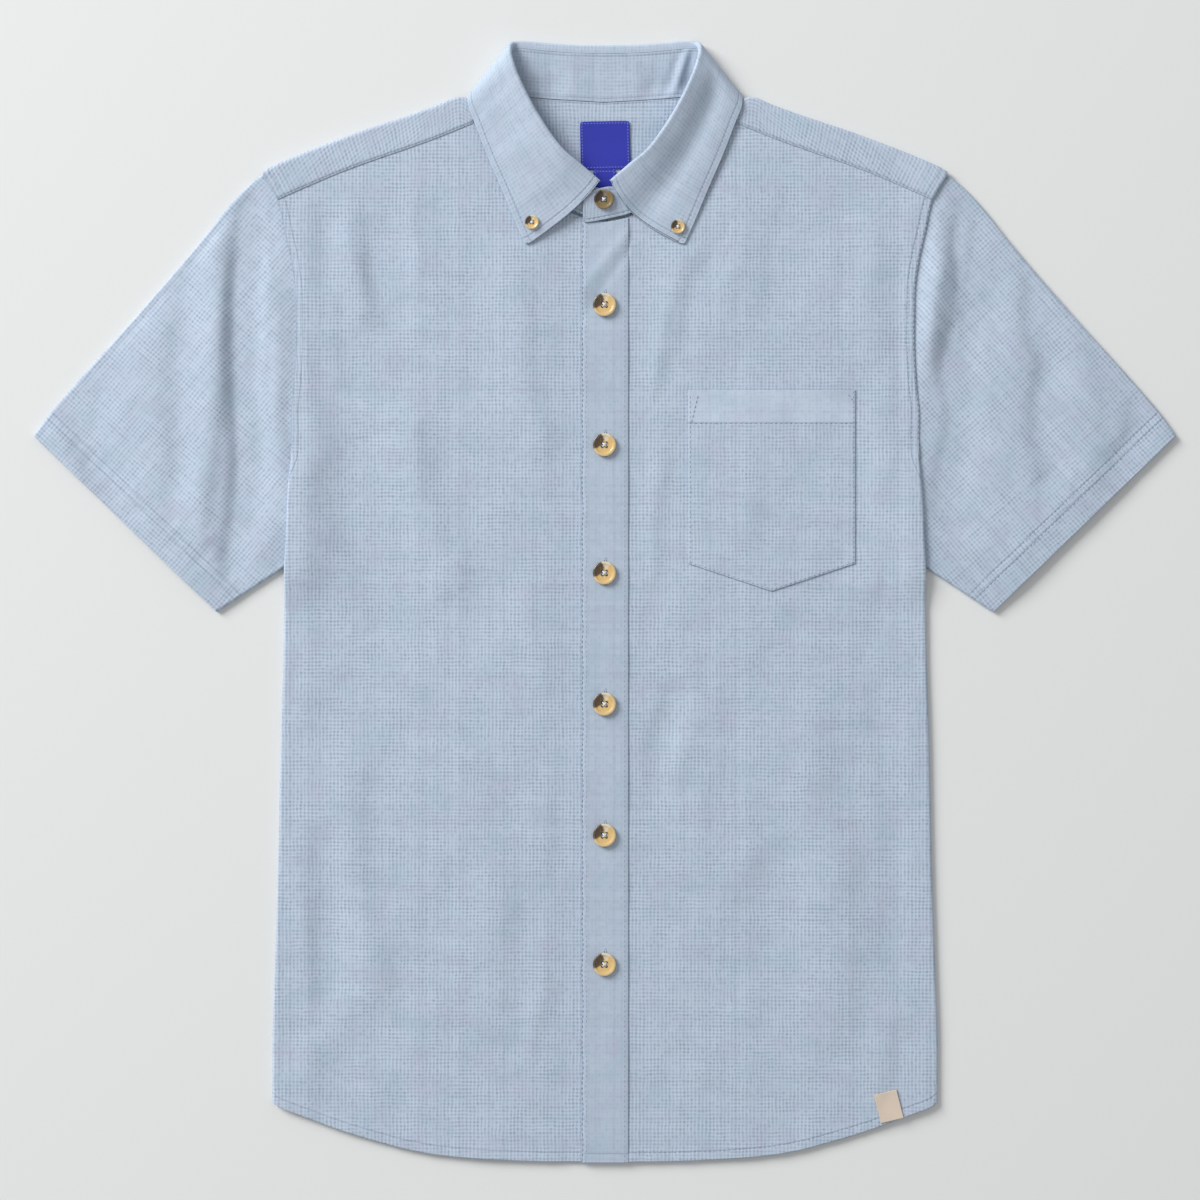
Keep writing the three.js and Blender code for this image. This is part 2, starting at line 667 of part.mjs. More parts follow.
function hemTab() {
  const turn = THREE.MathUtils.degToRad(HEM_TAB.turn);
  return patch(3, 3, (up, over) => {
    const across = (over - 0.5) * HEM_TAB.wide;
    const along = (up - 0.5) * HEM_TAB.tall;
    const x = HEM_TAB.x + across * Math.cos(turn) - along * Math.sin(turn);
    const y = HEM_TAB.y + across * Math.sin(turn) + along * Math.cos(turn);
    return [x, y];
  }, (x, y) => frontHeight(x, y) + LAYER);
}

// A horn button with a raised rim and four holes, standing on z = 0.
function buttonShape({ radius, thick, hole, reach }) {
  const outline = [
    [0, 0], [radius - 1, 0], [radius, 0.8], [radius, thick - 0.7],
    [radius - 0.7, thick], [radius - 1.6, thick], [radius - 2.7, thick - 0.7],
    [0, thick - 0.7],
  ].map(([x, y]) => new THREE.Vector2(x, y));
  let body = solid(new THREE.LatheGeometry(outline, 14).rotateX(Math.PI / 2));
  for (const [x, y] of [[1, 1], [1, -1], [-1, 1], [-1, -1]]) {
    const drill = new THREE.CylinderGeometry(hole, hole, 2 * thick, 6);
    drill.rotateX(Math.PI / 2);
    drill.translate(x * reach * 0.75, y * reach * 0.75, thick / 2);
    body = body.subtract(solid(drill));
  }
  const { numProp, vertProperties, triVerts } = body.getMesh();
  const geometry = new THREE.BufferGeometry();
  const points = [];
  for (let k = 0; k < vertProperties.length; k += numProp) {
    points.push(vertProperties[k], vertProperties[k + 1], vertProperties[k + 2]);
  }
  geometry.setAttribute('position', new THREE.Float32BufferAttribute(points, 3));
  geometry.setIndex([...triVerts]);
  geometry.computeVertexNormals();
  return geometry;
}

function solid(geometry) {
  geometry.deleteAttribute('normal');
  geometry.deleteAttribute('uv');
  const merged = mergeVertices(geometry, 1e-4);
  const mesh = new wasm.Mesh({
    numProp: 3,
    vertProperties: new Float32Array(merged.attributes.position.array),
    triVerts: new Uint32Array(merged.index.array),
  });
  return new wasm.Manifold(mesh);
}

// Sets a button on a cloth whose middle height is known near it.
function buttonOn(size, x, y, height) {
  const step = size.radius * 0.8;
  const slopeX = (height(x + step, y) - height(x - step, y)) / (2 * step);
  const slopeY = (height(x, y + step) - height(x, y - step)) / (2 * step);
  const normal = new THREE.Vector3(-slopeX, -slopeY, 1).normalize();
  let lift = 0;
  for (let k = 0; k < 16; k += 1) {
    const angle = k * Math.PI / 8;
    const [dx, dy] = [size.radius * Math.cos(angle), size.radius * Math.sin(angle)];
    const plane = height(x, y) + slopeX * dx + slopeY * dy;
    lift = Math.max(lift, height(x + dx, y + dy) - plane);
  }
  const geometry = buttonShape(size);
  const up = new THREE.Vector3(0, 0, 1);
  geometry.applyQuaternion(new THREE.Quaternion().setFromUnitVectors(up, normal));
  geometry.translate(x, y, height(x, y) + CLOTH / 2 + GAP + 0.1 + lift);
  return geometry;
}

// Height of the stand's left end and of the leaf, for the buttons on them.
function standEndHeight(x, y) {
  return mix(5.3, 9.0, clamp((y - 274.5) / 22.5, -0.3, 1.3));
}

function leafHeight(side) {
  return (x, y) => {
    let best = [1e9, 0];
    for (let place = 10; place <= 13; place += 0.25) {
      for (let part = 0; part <= 1; part += 0.1) {
        const point = leafFace(place, side, part);
        const away = Math.hypot(point.x - x, point.y - y);
        if (away < best[0]) {
          best = [away, point.z];
        }
      }
    }
    return best[1];
  };
}

const part = new THREE.Group();
part.name = 'fishing_shirt';

function add(name, geometry, material) {
  const [color, roughness] = COLORS[material];
  const look3d = new THREE.MeshStandardMaterial({ color, roughness, metalness: 0 });
  look3d.name = material;
  look3d.side = THREE.DoubleSide;
  const mesh = new THREE.Mesh(geometry, look3d);
  mesh.name = name;
  part.add(mesh);
}

add('back_panel', backPanel(), 'cloth');
add('yoke', yoke(), 'cloth');
add('front_right', frontPanel(-1), 'cloth');
add('front_left', frontPanel(1), 'cloth');
add('placket', placket(), 'cloth');
add('sleeve_right', sleeve(-1), 'cloth');
add('sleeve_left', sleeve(1), 'cloth');
add('collar_stand', collarStand(), 'cloth');
add('collar_leaf', collarLeaf(), 'cloth');
add('pocket', pocket(), 'cloth');
FRONT_BUTTON_Y.forEach((y, k) => {
  const onPlacket = (px, py) => frontHeight(px, py) + LAYER;
  add(`button_${k + 1}`, buttonOn(FRONT_BUTTON, 0.2, y, onPlacket), 'horn');
});
add('stand_button', buttonOn(STAND_BUTTON, -0.2, 289.4, standEndHeight), 'horn');
add('collar_button_right', buttonOn(POINT_BUTTON, -51.8, 272.7, leafHeight(-1)), 'horn');
add('collar_button_left', buttonOn(POINT_BUTTON, 52.9, 269.7, leafHeight(1)), 'horn');
add('neck_label', tab(NECK_LABEL, (x, y) => yokeBackHeight(x, y) + LAYER + 0.1), 'label');
add('size_tab', tab(SIZE_TAB, (x, y) => yokeBackHeight(x, y) + LAYER), 'label');
add('hem_tab', hemTab(), 'tab');

export default part;
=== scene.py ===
"""Short-sleeved fishing shirt laid flat on its back: cloth, sewing, buttons and stage."""
import math
from functools import reduce

import bpy
import numpy as np
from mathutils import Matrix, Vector


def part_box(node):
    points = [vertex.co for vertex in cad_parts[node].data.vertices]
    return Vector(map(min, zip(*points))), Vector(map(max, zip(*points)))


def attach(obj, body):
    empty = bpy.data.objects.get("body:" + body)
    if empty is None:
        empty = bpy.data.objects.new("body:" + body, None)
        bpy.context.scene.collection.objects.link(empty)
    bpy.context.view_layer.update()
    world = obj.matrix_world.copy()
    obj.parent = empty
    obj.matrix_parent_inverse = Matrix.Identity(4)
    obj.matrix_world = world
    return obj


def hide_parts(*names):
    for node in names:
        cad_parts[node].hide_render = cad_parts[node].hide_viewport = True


bl_info = {
    "name": "Fishing shirt laid flat",
    "version": (1, 0, 0),
    "blender": (4, 5, 0),
    "location": "View3D > Sidebar > Shirt",
    "description": "Sews a flat-laid fishing shirt around its solids",
    "category": "Object",
}

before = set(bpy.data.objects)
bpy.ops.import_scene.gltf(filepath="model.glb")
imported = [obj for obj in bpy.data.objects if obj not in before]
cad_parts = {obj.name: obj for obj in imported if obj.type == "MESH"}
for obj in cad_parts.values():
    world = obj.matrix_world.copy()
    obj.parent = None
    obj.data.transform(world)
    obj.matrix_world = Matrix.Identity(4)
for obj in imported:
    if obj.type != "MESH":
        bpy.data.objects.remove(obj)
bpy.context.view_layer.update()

# All tables and lengths are in millimetres. X runs across, Y to the collar, Z up.
MM = 0.001
CLOTH = 1.0
GAP = 0.3
LAYER = CLOTH + GAP
RESTING = 0.95
ON_TABLE = 0.5
FRONT_HEIGHT = 3.2
PLACKET_LEFT, PLACKET_RIGHT = -16.4, 16.8
SIDE_SEAM = 206
YOKE_SEAM_BACK = 262
FLAT_END = 8
FRONT_BUTTON_Y = (213.5, 112.7, 20.5, -73.8, -168.1, -261)
# Length of the sleeve along the shoulder and along the underarm, and width of its cuff.
SLEEVE_LONG, SLEEVE_SHORT, CUFF = 273, 98, 183
SLEEVE_GRAIN = math.radians(-49.2)
# Nominal sizes that set how many rows and columns a grid has.
FRONT_FOOT, FRONT_TALL, FRONT_WIDE = -360, 657, 236
BACK_TALL, BAND_FOOT, BAND_TALL, POCKET_TALL = 662, -404.2, 679, 140
STAND_TALL, LEAF_TALL = 34, 60
# Distances of the stitches from the edges.
HEM_STITCH, ARMHOLE_STITCH, LEAF_STITCH, STAND_STITCH = 6.5, 5.6, 4.6, 2.2
SLEEVE_STITCHES = (16.0, 21.4)
POCKET_HEM = 24.0
# Cloth thickness of the pieces that differ from the size group's.
YOKE_THICK, LEAF_THICK, BAND_THICK, POCKET_THICK, TAPE_THICK = 0.7, 0.95, 0.8, 0.6, 0.7
# Radius, thickness, radius of the holes and their spacing.
BUTTONS = {
    "front": (8.0, 2.8, 0.95, 1.9),
    "stand": (6.85, 2.6, 0.85, 1.7),
    "point": (4.85, 2.2, 0.65, 1.2),
}
TAPE_THREAD = (0.36, 0.40, 0.72, 1)
BUTTON_SHIFT, BUTTON_SINK, BUTTON_SCALE = 0.6, 0.5, 1.04

# y, half width seen, height of the cloth, fold radius, share of turn-under.
SIDE = (
    (-405, 239.5, 3.7, 1.6, 1), (-356, 239.8, 3.7, 1.6, 1), (-323, 239.8, 3.7, 1.6, 1),
    (-251, 237.6, 3.7, 1.6, 1), (-179, 235.4, 3.7, 1.6, 1), (-107, 234.0, 3.7, 1.6, 1),
    (-35, 231.8, 3.7, 1.6, 1), (-6, 231.4, 3.8, 1.6, 1), (8, 231.2, 5.6, 1.5, 1),
    (20, 231.1, 7.5, 1.3, 1), (45, 230.0, 7.7, 1.3, 0.92), (60, 229.4, 7.6, 1.3, 0.78),
    (80, 228.4, 7.2, 1.2, 0.45), (92, 227.5, 6.8, 1.0, 0.22), (104, 226.4, 6.1, 0.95, 0.06),
    (113, 225.7, 5.4, 0.95, 0), (134, 226.1, 4.9, 0.95, 0), (158, 223.9, 4.9, 0.95, 0),
    (188, 222.5, 4.9, 0.95, 0), (221, 222.8, 4.9, 0.95, 0), (243, 225.4, 4.9, 0.95, 0),
    (266, 230.4, 4.9, 0.95, 0), (288, 235.4, 4.9, 0.95, 0), (307, 247.7, 4.9, 0.95, 0),
)
# Half width, y.
HEM = (
    (0, -403.8), (43.9, -403.3), (90, -401.4), (117.7, -399.0), (142.2, -394.7),
    (158.4, -390.4), (173.5, -386.1), (187.2, -381.8), (199.8, -377.4), (211, -373.1),
    (222.5, -368.8), (234.7, -364), (240, -360), (247, -357), (270, -352),
)
FRONT_TOP = (
    (0, 273.8), (15, 276.6), (38, 287.6), (62, 301.2), (82, 323.6), (88.6, 345.0),
    (90.2, 352.0), (94.3, 352.3), (118.8, 342.4), (190.8, 316.5), (235.4, 297.2), (248, 296.5),
)
# y, half width.
BACK_SIDE = (
    (-405, 206), (30, 206), (50, 206), (69, 209), (90, 213), (112, 217), (134, 220),
    (158, 221.5), (188, 221.5), (221, 222), (243, 225), (262, 229),
)
BACK_HEM = ((0, -401), (60, -399), (120, -391), (160, -378), (190, -363), (206, -353))
# Neck half width, half width at the back seam, y of the edge, share of the turn.
YOKE_NECK = (
    (0, 0, 359.4, 0), (24, 22, 360.7, 0), (46, 42, 362.2, 0), (64, 57, 363.4, 0),
    (76, 67, 363.8, 0), (83, 73, 363.4, 0), (87, 76.5, 362.2, 0.1), (90, 79.5, 361.7, 0.3),
    (92.4, 82, 361.5, 0.65), (94.5, 84, 361.4, 1), (99, 88.3, 361.6, 1), (102.5, 91.6, 363.2, 1),
    (108, 96.9, 362.6, 1), (120, 108.4, 357.8, 1), (135, 122.7, 352.3, 1),
    (153.4, 140.3, 346.1, 1), (175, 160.9, 338.9, 1), (198, 182.9, 330.4, 1),
    (220, 204, 321.9, 1), (236, 219.3, 314.9, 1), (246.2, 229, 310.2, 1),
)
YOKE_FRONT_SEAM = ((94.3, 344.5), (118.8, 334.4), (190.8, 308.5), (235.4, 289.1))
SLEEVE_TOP = (
    (238.3, 311.1), (245.6, 308.0), (253, 302.9), (260.6, 296.2), (273.6, 281.9),
    (296.6, 253.1), (334.1, 209.9), (373, 166.7), (397.6, 138.6), (411.6, 119.6),
)
SLEEVE_UNDER = ((198, 46), (214, 35.6), (230.4, 24.8), (254.9, 8.6), (279.4, -7.6))
SLEEVE_HEAD = (
    (238.3, 311.1), (230, 290), (223, 266), (218, 243), (215, 221), (214.5, 188),
    (215.5, 158), (216, 134), (212, 112), (207, 90), (202, 69), (198, 46),
)
# Middle of the roll x y z, outer edge x y z, way the outside faces in degrees.
LEAF = (
    (0, 398.8, 2.2, 0, 355, 0.6, -90), (22, 399.1, 2.2, 24, 355, 0.6, -90),
    (43, 400.6, 2.2, 49, 355.4, 0.6, -90), (56, 401.8, 2.3, 74, 357.2, 0.6, -88),
    (62.5, 402.0, 2.8, 89, 360.0, 0.65, -70), (65.7, 401.4, 4.3, 96.2, 363.4, 1.5, -38),
    (67.4, 400.0, 7.1, 98.2, 364.2, 3.75, 0), (68.3, 396.6, 10.2, 98.8, 361.2, 6.1, 42),
    (67.7, 389.4, 12.0, 97.8, 354.5, 7.0, 78), (62.3, 373.5, 12.2, 93.2, 343, 6.9, 90),
    (49.8, 349, 12.2, 84.3, 320, 6.2, 90), (33.4, 325.3, 11.4, 74.3, 297, 5.5, 90),
    (18.7, 312.7, 10.3, 65.2, 275, 5.1, 90), (4.8, 301, 9.2, 56.9, 256, 4.9, 90),
)
NECK_SEAM = (
    (0, 359.9, 1.9), (23, 361.1, 1.9), (43, 362.5, 1.9), (60, 363.9, 1.9), (72, 364.6, 2.0),
    (81, 365, 2.4), (86, 363.4, 3.7), (88, 359.6, 5.0), (88.4, 354, 5.1), (88, 348, 5.1),
    (81.4, 326, 5.0), (62.3, 302.3, 4.6), (38.3, 288.6, 4.2), (15, 278.6, 3.9),
)
ROLL_RADIUS = 1.6
LEAF_START = 4.2
LEFT_LIFT = 1.5
ROLL_RISE = 2.6
# Upper edge x y z and neck edge x y z of the stand's ends, right tail then left tip.
STAND_TAIL = (
    (2, 297.0, 6.8, 2, 277.6, 3.4), (-8, 294.5, 6.0, -8, 278.8, 3.2),
    (-12, 291, 5.8, -12, 280.2, 3.2),
)
STAND_TIP = (
    (2, 298.0, 9.0, 2, 275.6, 5.3), (-6.5, 296.0, 8.9, -8, 273.6, 5.3),
    (-13.0, 292.6, 8.5, -14.4, 273.0, 5.4), (-15.6, 289, 8.0, -15.9, 274.4, 5.7),
)
# x of the pleat at the neck, lean, half width, rise.
STAND_PLEATS = (
    (48, 0.38, 2.6, -0.7), (54, 0.3, 2.6, 2.0), (60, 0.2, 2.4, -0.7), (36, 0.3, 5, -0.4),
    (-22, -0.1, 7, 0.4), (-40, -0.25, 5, -0.5), (-57, -0.2, 3.5, 0.5), (8, 0.1, 8, -0.3),
)
POCKET_LEFT, POCKET_RIGHT, POCKET_TOP, POCKET_SIDE, POCKET_FOOT = 59.8, 180.1, 152.3, 27.4, 7.4
# Left, right, foot and top; the hem tab has its middle, width, height and turn.
NECK_LABEL = (-17.4, 18.4, 311.6, 346)
SIZE_TAB = (-8.3, 7.9, 293.5, 311.5)
HEM_TAB = (204.2, -363.4, 16.7, 21.0, 14)

# Soft folds: x and y of both ends, half width, rise. The first ones are in the solids.
FOLDS = (
    (-205, 280, -203, 205, 11, -0.9), (-184, 288, -180, 205, 12, 0.8),
    (-158, 290, -156, 200, 12, -0.7), (-198, 95, -142, -12, 30, -1.0),
    (-150, 130, -110, 30, 20, 0.9), (-207, -179, -203, -272, 15, -0.8),
    (-185, -120, -170, -280, 16, 0.6), (-228, -340, -206, -318, 12, 0.8),
    (-100, -120, -80, -300, 22, 0.6), (-70, 240, -48, 120, 14, 0.6),
    (61, 246, 26, 152, 12, 0.4), (40, 100, 27, 20, 10, 0.6),
    (48, -71, 32, -143, 12, -0.7), (119, -170, 128, -240, 26, -0.6),
    (150, -90, 165, -300, 24, 0.7), (204, -60, 210, -250, 14, -0.6),
    (190, 270, 196, 190, 14, 0.8), (-260, 300, -262, 190, 10.5, -1.15),
    (-262, 190, -266, 26, 11.5, -1.1), (-248, 285, -252, 60, 17, -0.5),
    (-279, 275, -289, 50, 12, 0.7),
    (-378, 110, -350, 62, 12, -0.5), (-395, 118, -372, 66, 9, 0.5),
    (-318, 200, -330, 60, 16, 0.4), (263, 294, 261, 226, 13, -0.8), (240, 280, 235, 190, 8, 0.15),
    (261, 226, 252, 160, 14, -0.8), (252, 160, 250, 60, 13, -0.7),
    (308, 240, 318, 168, 12, -0.55), (318, 168, 315, 88, 12, -0.5), (340, 200, 347, 60, 14, 0.3),
    (385, 140, 372, 100, 10, -0.5),
)
SMALL_FOLDS = (
    (-222, 250, -214, 150, 6, 0.35), (-196, 250, -192, 160, 6, 0.3),
    (-172, 285, -168, 230, 6, -0.35), (-140, 300, -135, 240, 7, 0.3),
    (-120, 300, -118, 250, 7, -0.25), (-212, 130, -180, 95, 8, 0.45),
    (-214, 80, -170, 60, 8, -0.4), (-206, 50, -168, 10, 9, 0.4),
    (-120, 90, -90, -10, 12, -0.3), (-60, 30, -45, -60, 9, 0.3),
    (-30, -120, -36, -200, 6, -0.3), (-24, -275, -34, -300, 5, -0.45),
    (-44, -262, -52, -330, 6, 0.35), (-218, -200, -214, -300, 7, 0.35),
    (-190, -300, -160, -372, 9, 0.3), (75, 250, 52, 190, 7, -0.15),
    (48, 225, 34, 150, 5, 0.35), (98, 280, 88, 210, 8, 0.3),
    (128, 300, 122, 220, 9, -0.3), (160, 300, 160, 200, 9, 0.3),
    (212, 240, 208, 130, 7, -0.35), (200, 110, 186, 10, 10, 0.4),
    (214, 70, 190, -40, 9, -0.4), (32, 0, 24, -60, 6, -0.3),
    (62, -40, 50, -150, 9, 0.35), (90, -60, 84, -180, 12, -0.3),
    (24, -190, 32, -280, 6, 0.3), (205, -300, 190, -372, 9, 0.35),
    (-243, 290, -246, 150, 4, 0.3),
    (-300, 240, -312, 80, 9, -0.35), (-340, 180, -352, 90, 10, 0.3),
    (-362, 150, -372, 100, 6, -0.3), (-300, 60, -262, 20, 6, -0.4),
    (262, 290, 254, 190, 5, 0.4), (280, 250, 286, 120, 8, -0.35),
    (342, 82, 330, 50, 8, -0.5), (318, 110, 300, 40, 8, 0.4),
    (360, 160, 366, 90, 9, 0.3), (250, 60, 292, 8, 6, -0.4),
    (110, 120, 104, 40, 14, 0.2), (142, 130, 146, 36, 12, -0.25),
)


def mix(a, b, share):
    return a + (b - a) * share


def ease(value, start, end):
    share = np.clip((np.asarray(value, float) - start) / (end - start), 0, 1)
    return share * share * (3 - 2 * share)


def travelled(points):
    """Distance along a line at each of its points."""
    return np.concatenate([[0], np.cumsum(np.linalg.norm(np.diff(points, axis=0), axis=1))])


def bridge(a, b, rise_a, rise_b, s):
    """Smooth way from a to b that leaves and arrives with the given rises."""
    s2, s3 = s * s, s * s * s
    return (
        a * (2 * s3 - 3 * s2 + 1) + rise_a * (s3 - 2 * s2 + s)
        + b * (3 * s2 - 2 * s3) + rise_b * (s3 - s2)
    )


def look(table, key, column=1):
    """Smooth reading of a table column whose first column rises, without overshoot."""
    rows = np.asarray(table, float)
    x, y = rows[:, 0], rows[:, column]
    step = np.diff(x)
    rise = np.diff(y) / step
    slope = np.zeros_like(y)
    slope[0], slope[-1] = rise[0], rise[-1]
    same = rise[:-1] * rise[1:] > 0
    before, after = 2 * step[1:] + step[:-1], step[1:] + 2 * step[:-1]
    safe_a = np.where(same, rise[:-1], 1)
    safe_b = np.where(same, rise[1:], 1)
    slope[1:-1] = np.where(same, (before + after) / (before / safe_a + after / safe_b), 0)
    key = np.clip(np.asarray(key, float), x[0], x[-1])
    at = np.clip(np.searchsorted(x, key) - 1, 0, len(x) - 2)
    s = (key - x[at]) / step[at]
    return bridge(y[at], y[at + 1], slope[at] * step[at], slope[at + 1] * step[at], s)


def between(table, place):
    """Rows of a table read smoothly at fractional places."""
    rows = np.asarray(table, float)
    last = len(rows) - 1
    place = np.asarray(place, float)
    i = np.clip(np.floor(place).astype(int), 0, last - 1)
    s = (place - i)[..., None]
    a, b = rows[np.clip(i - 1, 0, last)], rows[i]
    c, d = rows[i + 1], rows[np.clip(i + 2, 0, last)]
    return bridge(b, c, (c - a) / 2, (d - b) / 2, s)


def along_line(points, share):
    """Points at shares of the length of a smooth line through a table's rows."""
    fine = between(points, np.linspace(0, len(points) - 1, 40 * len(points)))
    sums = travelled(fine)
    goal = np.clip(share, 0, 1) * sums[-1]
    return np.stack([np.interp(goal, sums, fine[:, k]) for k in range(fine.shape[1])], axis=-1)


def spaced(start, end, step, fine=0.6):
    """Places from start to end, closer together at both ends."""
    length = abs(end - start)
    ends = [k * fine * (1 + 0.25 * k) for k in range(5)]
    count = max(2, int(round((length - 2 * ends[-1]) / step)))
    middle = np.linspace(ends[-1], length - ends[-1], count + 1)
    far = [length - value for value in reversed(ends[:-1])]
    return start + np.concatenate([ends[:-1], middle, far]) * np.sign(end - start)


def folds_at(x, y, table):
    """Rise of a table's soft troughs and ridges."""
    rise = np.zeros(np.broadcast(x, y).shape)
    for x1, y1, x2, y2, wide, high in table:
        dx, dy = x2 - x1, y2 - y1
        part = np.clip(((x - x1) * dx + (y - y1) * dy) / (dx * dx + dy * dy), 0, 1)
        bend = 0.35 * wide * np.sin(part * 5.1 + x1 * 0.7)
        across = ((x - x1) * dy - (y - y1) * dx) / math.hypot(dx, dy) + bend
        past = np.hypot(x - x1 - part * dx, y - y1 - part * dy)
        side = np.where((part > 0) & (part < 1), np.abs(across), past)
        lean = 1 + 0.35 * np.tanh(across / wide) * math.copysign(1, high)
        swell = 0.72 + 0.28 * np.sin(part * math.pi)
        rise += high * swell * np.exp(-((side / (wide * lean)) ** 2))
    return rise


def ripples(x, y):
    """Slight unevenness of pressed cloth."""
    total = 0
    for across, along, high, turn in (
        (31, 7, 0.10, 0.4), (-17, 26, 0.09, 2.1), (23, -41, 0.07, 4.0), (13, 9, 0.05, 1.2),
        (-11, 15, 0.045, 5.2), (47, 61, 0.12, 3.3),
    ):
        way = (x / across / 2.1 + y / along / 2.1) / 1.6
        total = total + high * np.sin(2 * math.pi * way + turn)
    return total


def puckers(along, away, reach=9.0, high=0.22):
    """Small gathers beside a seam: place along it and distance from it."""
    wave = np.sin(along / 3.1 + 1.3 * np.sin(along / 17.0)) + 0.6 * np.sin(along / 1.9 + 2)
    swell = 0.5 + 0.5 * np.sin(along / 29.0) ** 2
    return high * 0.6 * wave * np.exp(-((away / reach) ** 2)) * swell


def front_height(x, y, fine=True):
    half = np.abs(x)
    edge = look(SIDE, y, 1)
    at_side = ease(half - edge, -46, -9)
    near_placket = ease(half, 20, 45)
    near_yoke = ease(y, 255, 300) * ease(half, 70, 100)
    plain = FRONT_HEIGHT + 0.8 * near_yoke * (1 - at_side)
    soft = folds_at(x, y, FOLDS) * (1 - at_side) * near_placket * (1 - near_yoke)
    high = mix(plain, look(SIDE, y, 2), at_side)
    if not fine:
        return high + soft
    open_cloth = near_placket * ease(y, 302, 280) * ease(edge - half, 1, 12)
    extra = 1.9 * soft + (2.0 * folds_at(x, y, SMALL_FOLDS) + 1.3 * ripples(x, y)) * open_cloth
    total = soft + extra
    return high + np.where(total < 0, 1.7 * np.tanh(total / 1.7), total)


def rolled(length, flat_end, radius, near, far):
    """Place and height of a sheet that runs flat to a crest, round it and back."""
    turn = (length - flat_end) / radius
    curl = np.clip(turn, 0, math.pi)
    middle = (near + far) / 2
    place = np.where(turn <= 0, length, flat_end + radius * np.sin(curl))
    place = np.where(turn > math.pi, flat_end - (turn - math.pi) * radius, place)
    return place, middle + (near - middle) * np.cos(curl)


def fold_stops(reach, radius, count=30):
    """Lengths past the flat part of the columns of a fold, close together round it."""
    arc = math.pi * radius
    stops = []
    for i in range(1, count + 1):
        even = reach * i / count
        if i <= 5:
            wanted = FLAT_END * i / 5
        elif i <= 17:
            wanted = FLAT_END + arc * (i - 5) / 12
        else:
            wanted = even
        stops.append(np.minimum(even, wanted))
    return np.stack(stops, axis=-1)


class Cloth:
    """A piece of cloth as a grid: middle of the cloth, normals and place in the weave."""

    def __init__(self, points, weave, ring=False):
        self.points, self.weave, self.ring = points, weave, ring
        if ring:
            around = np.roll(points, -1, 1) - np.roll(points, 1, 1)
        else:
            around = np.gradient(points, axis=1)
        normal = np.cross(around, np.gradient(points, axis=0))
        self.normals = normal / np.maximum(np.linalg.norm(normal, axis=2, keepdims=True), 1e-9)
        self.edges = {}

    def from_edge(self, edge):
        """Distance along the cloth of every point from one edge of the grid."""
        if edge not in self.edges:
            axis = 0 if edge in ("foot", "head") else 1
            grid = self.points if edge in ("foot", "start") else np.flip(self.points, axis)
            step = np.linalg.norm(np.diff(grid, axis=axis), axis=2)
            zero = np.zeros_like(np.take(step, [0], axis=axis))
            away = np.cumsum(np.concatenate([zero, step], axis=axis), axis=axis)
            self.edges[edge] = away if edge in ("foot", "start") else np.flip(away, axis)
        return self.edges[edge]

    def line(self, edge, inset, start=0.0, end=1.0):
        """Points and normals of a line at a distance inside an edge."""
        away = self.from_edge(edge)[..., None]
        grid = np.concatenate([away, self.points, self.normals], axis=2)
        if edge in ("foot", "head"):
            grid = grid.transpose(1, 0, 2)
        if edge in ("head", "end"):
            grid = grid[:, ::-1]
        found = []
        for row in grid:
            at = np.interp(inset, row[:, 0], np.arange(len(row)))
            i = min(int(at), len(row) - 2)
            found.append(mix(row[i, 1:], row[i + 1, 1:], at - i))
        low, high = int(start * (len(found) - 1)), int(math.ceil(end * (len(found) - 1)))
        found = np.array(found)[low:high + 1]
        return found[:, :3], found[:, 3:]

    def shell(self, name, thick=None):
        """A closed thin wall with the weave's map and the edges' distances."""
        if thick is None:
            thick = round(bpy.context.scene.shirt_sizes.shell / MM, 3)
        rows, columns = self.points.shape[:2]
        outer = self.points + self.normals * (thick / 2)
        inner = self.points - self.normals * (thick / 2)
        places = np.concatenate([outer.reshape(-1, 3), inner.reshape(-1, 3)])
        index = np.arange(rows * columns).reshape(rows, columns)
        if self.ring:
            index = np.concatenate([index, index[:, :1]], axis=1)
        a, b = index[:-1, :-1].ravel(), index[:-1, 1:].ravel()
        c, d = index[1:, 1:].ravel(), index[1:, :-1].ravel()
        half = rows * columns
        front = np.stack([a, b, c, d], axis=1)
        back = np.stack([a, d, c, b], axis=1) + half
        rims = [rim_faces(index[0], half, True), rim_faces(index[-1], half, False)]
        if not self.ring:
            rims += [rim_faces(index[:, 0], half, False), rim_faces(index[:, -1], half, True)]
        faces = np.concatenate([front, back, *rims])
        if closed_volume(places, faces) < 0:
            faces = faces[:, ::-1]
        mesh = new_mesh(name, places, faces.tolist())
        flat = np.concatenate([self.weave.reshape(-1, 2)] * 2) * MM
        map_faces(mesh, "weave", flat)
        for edge in ("foot", "head") + (() if self.ring else ("start", "end")):
            away = np.concatenate([self.from_edge(edge).ravel()] * 2) * MM
            layer = mesh.attributes.new("from_" + edge, "FLOAT", "POINT")
            layer.data.foreach_set("value", away.astype(np.float32))
        return new_object(name, mesh)


def rim_faces(edge, half, turn):
    a, b = edge[:-1], edge[1:]
    quads = np.stack([a, a + half, b + half, b], axis=1)
    return quads if turn else quads[:, ::-1]


def closed_volume(places, faces):
    total = 0.0
    for k in (1, 2):
        a, b, c = places[faces[:, 0]], places[faces[:, k]], places[faces[:, k + 1]]
        total += np.einsum("ij,ij->", a, np.cross(b, c))
    return total


def new_mesh(name, places, faces):
    """A smooth mesh from places in millimetres."""
    mesh = bpy.data.meshes.new(name)
    mesh.from_pydata((np.asarray(places) * MM).tolist(), [], faces)
    mesh.shade_smooth()
    return mesh


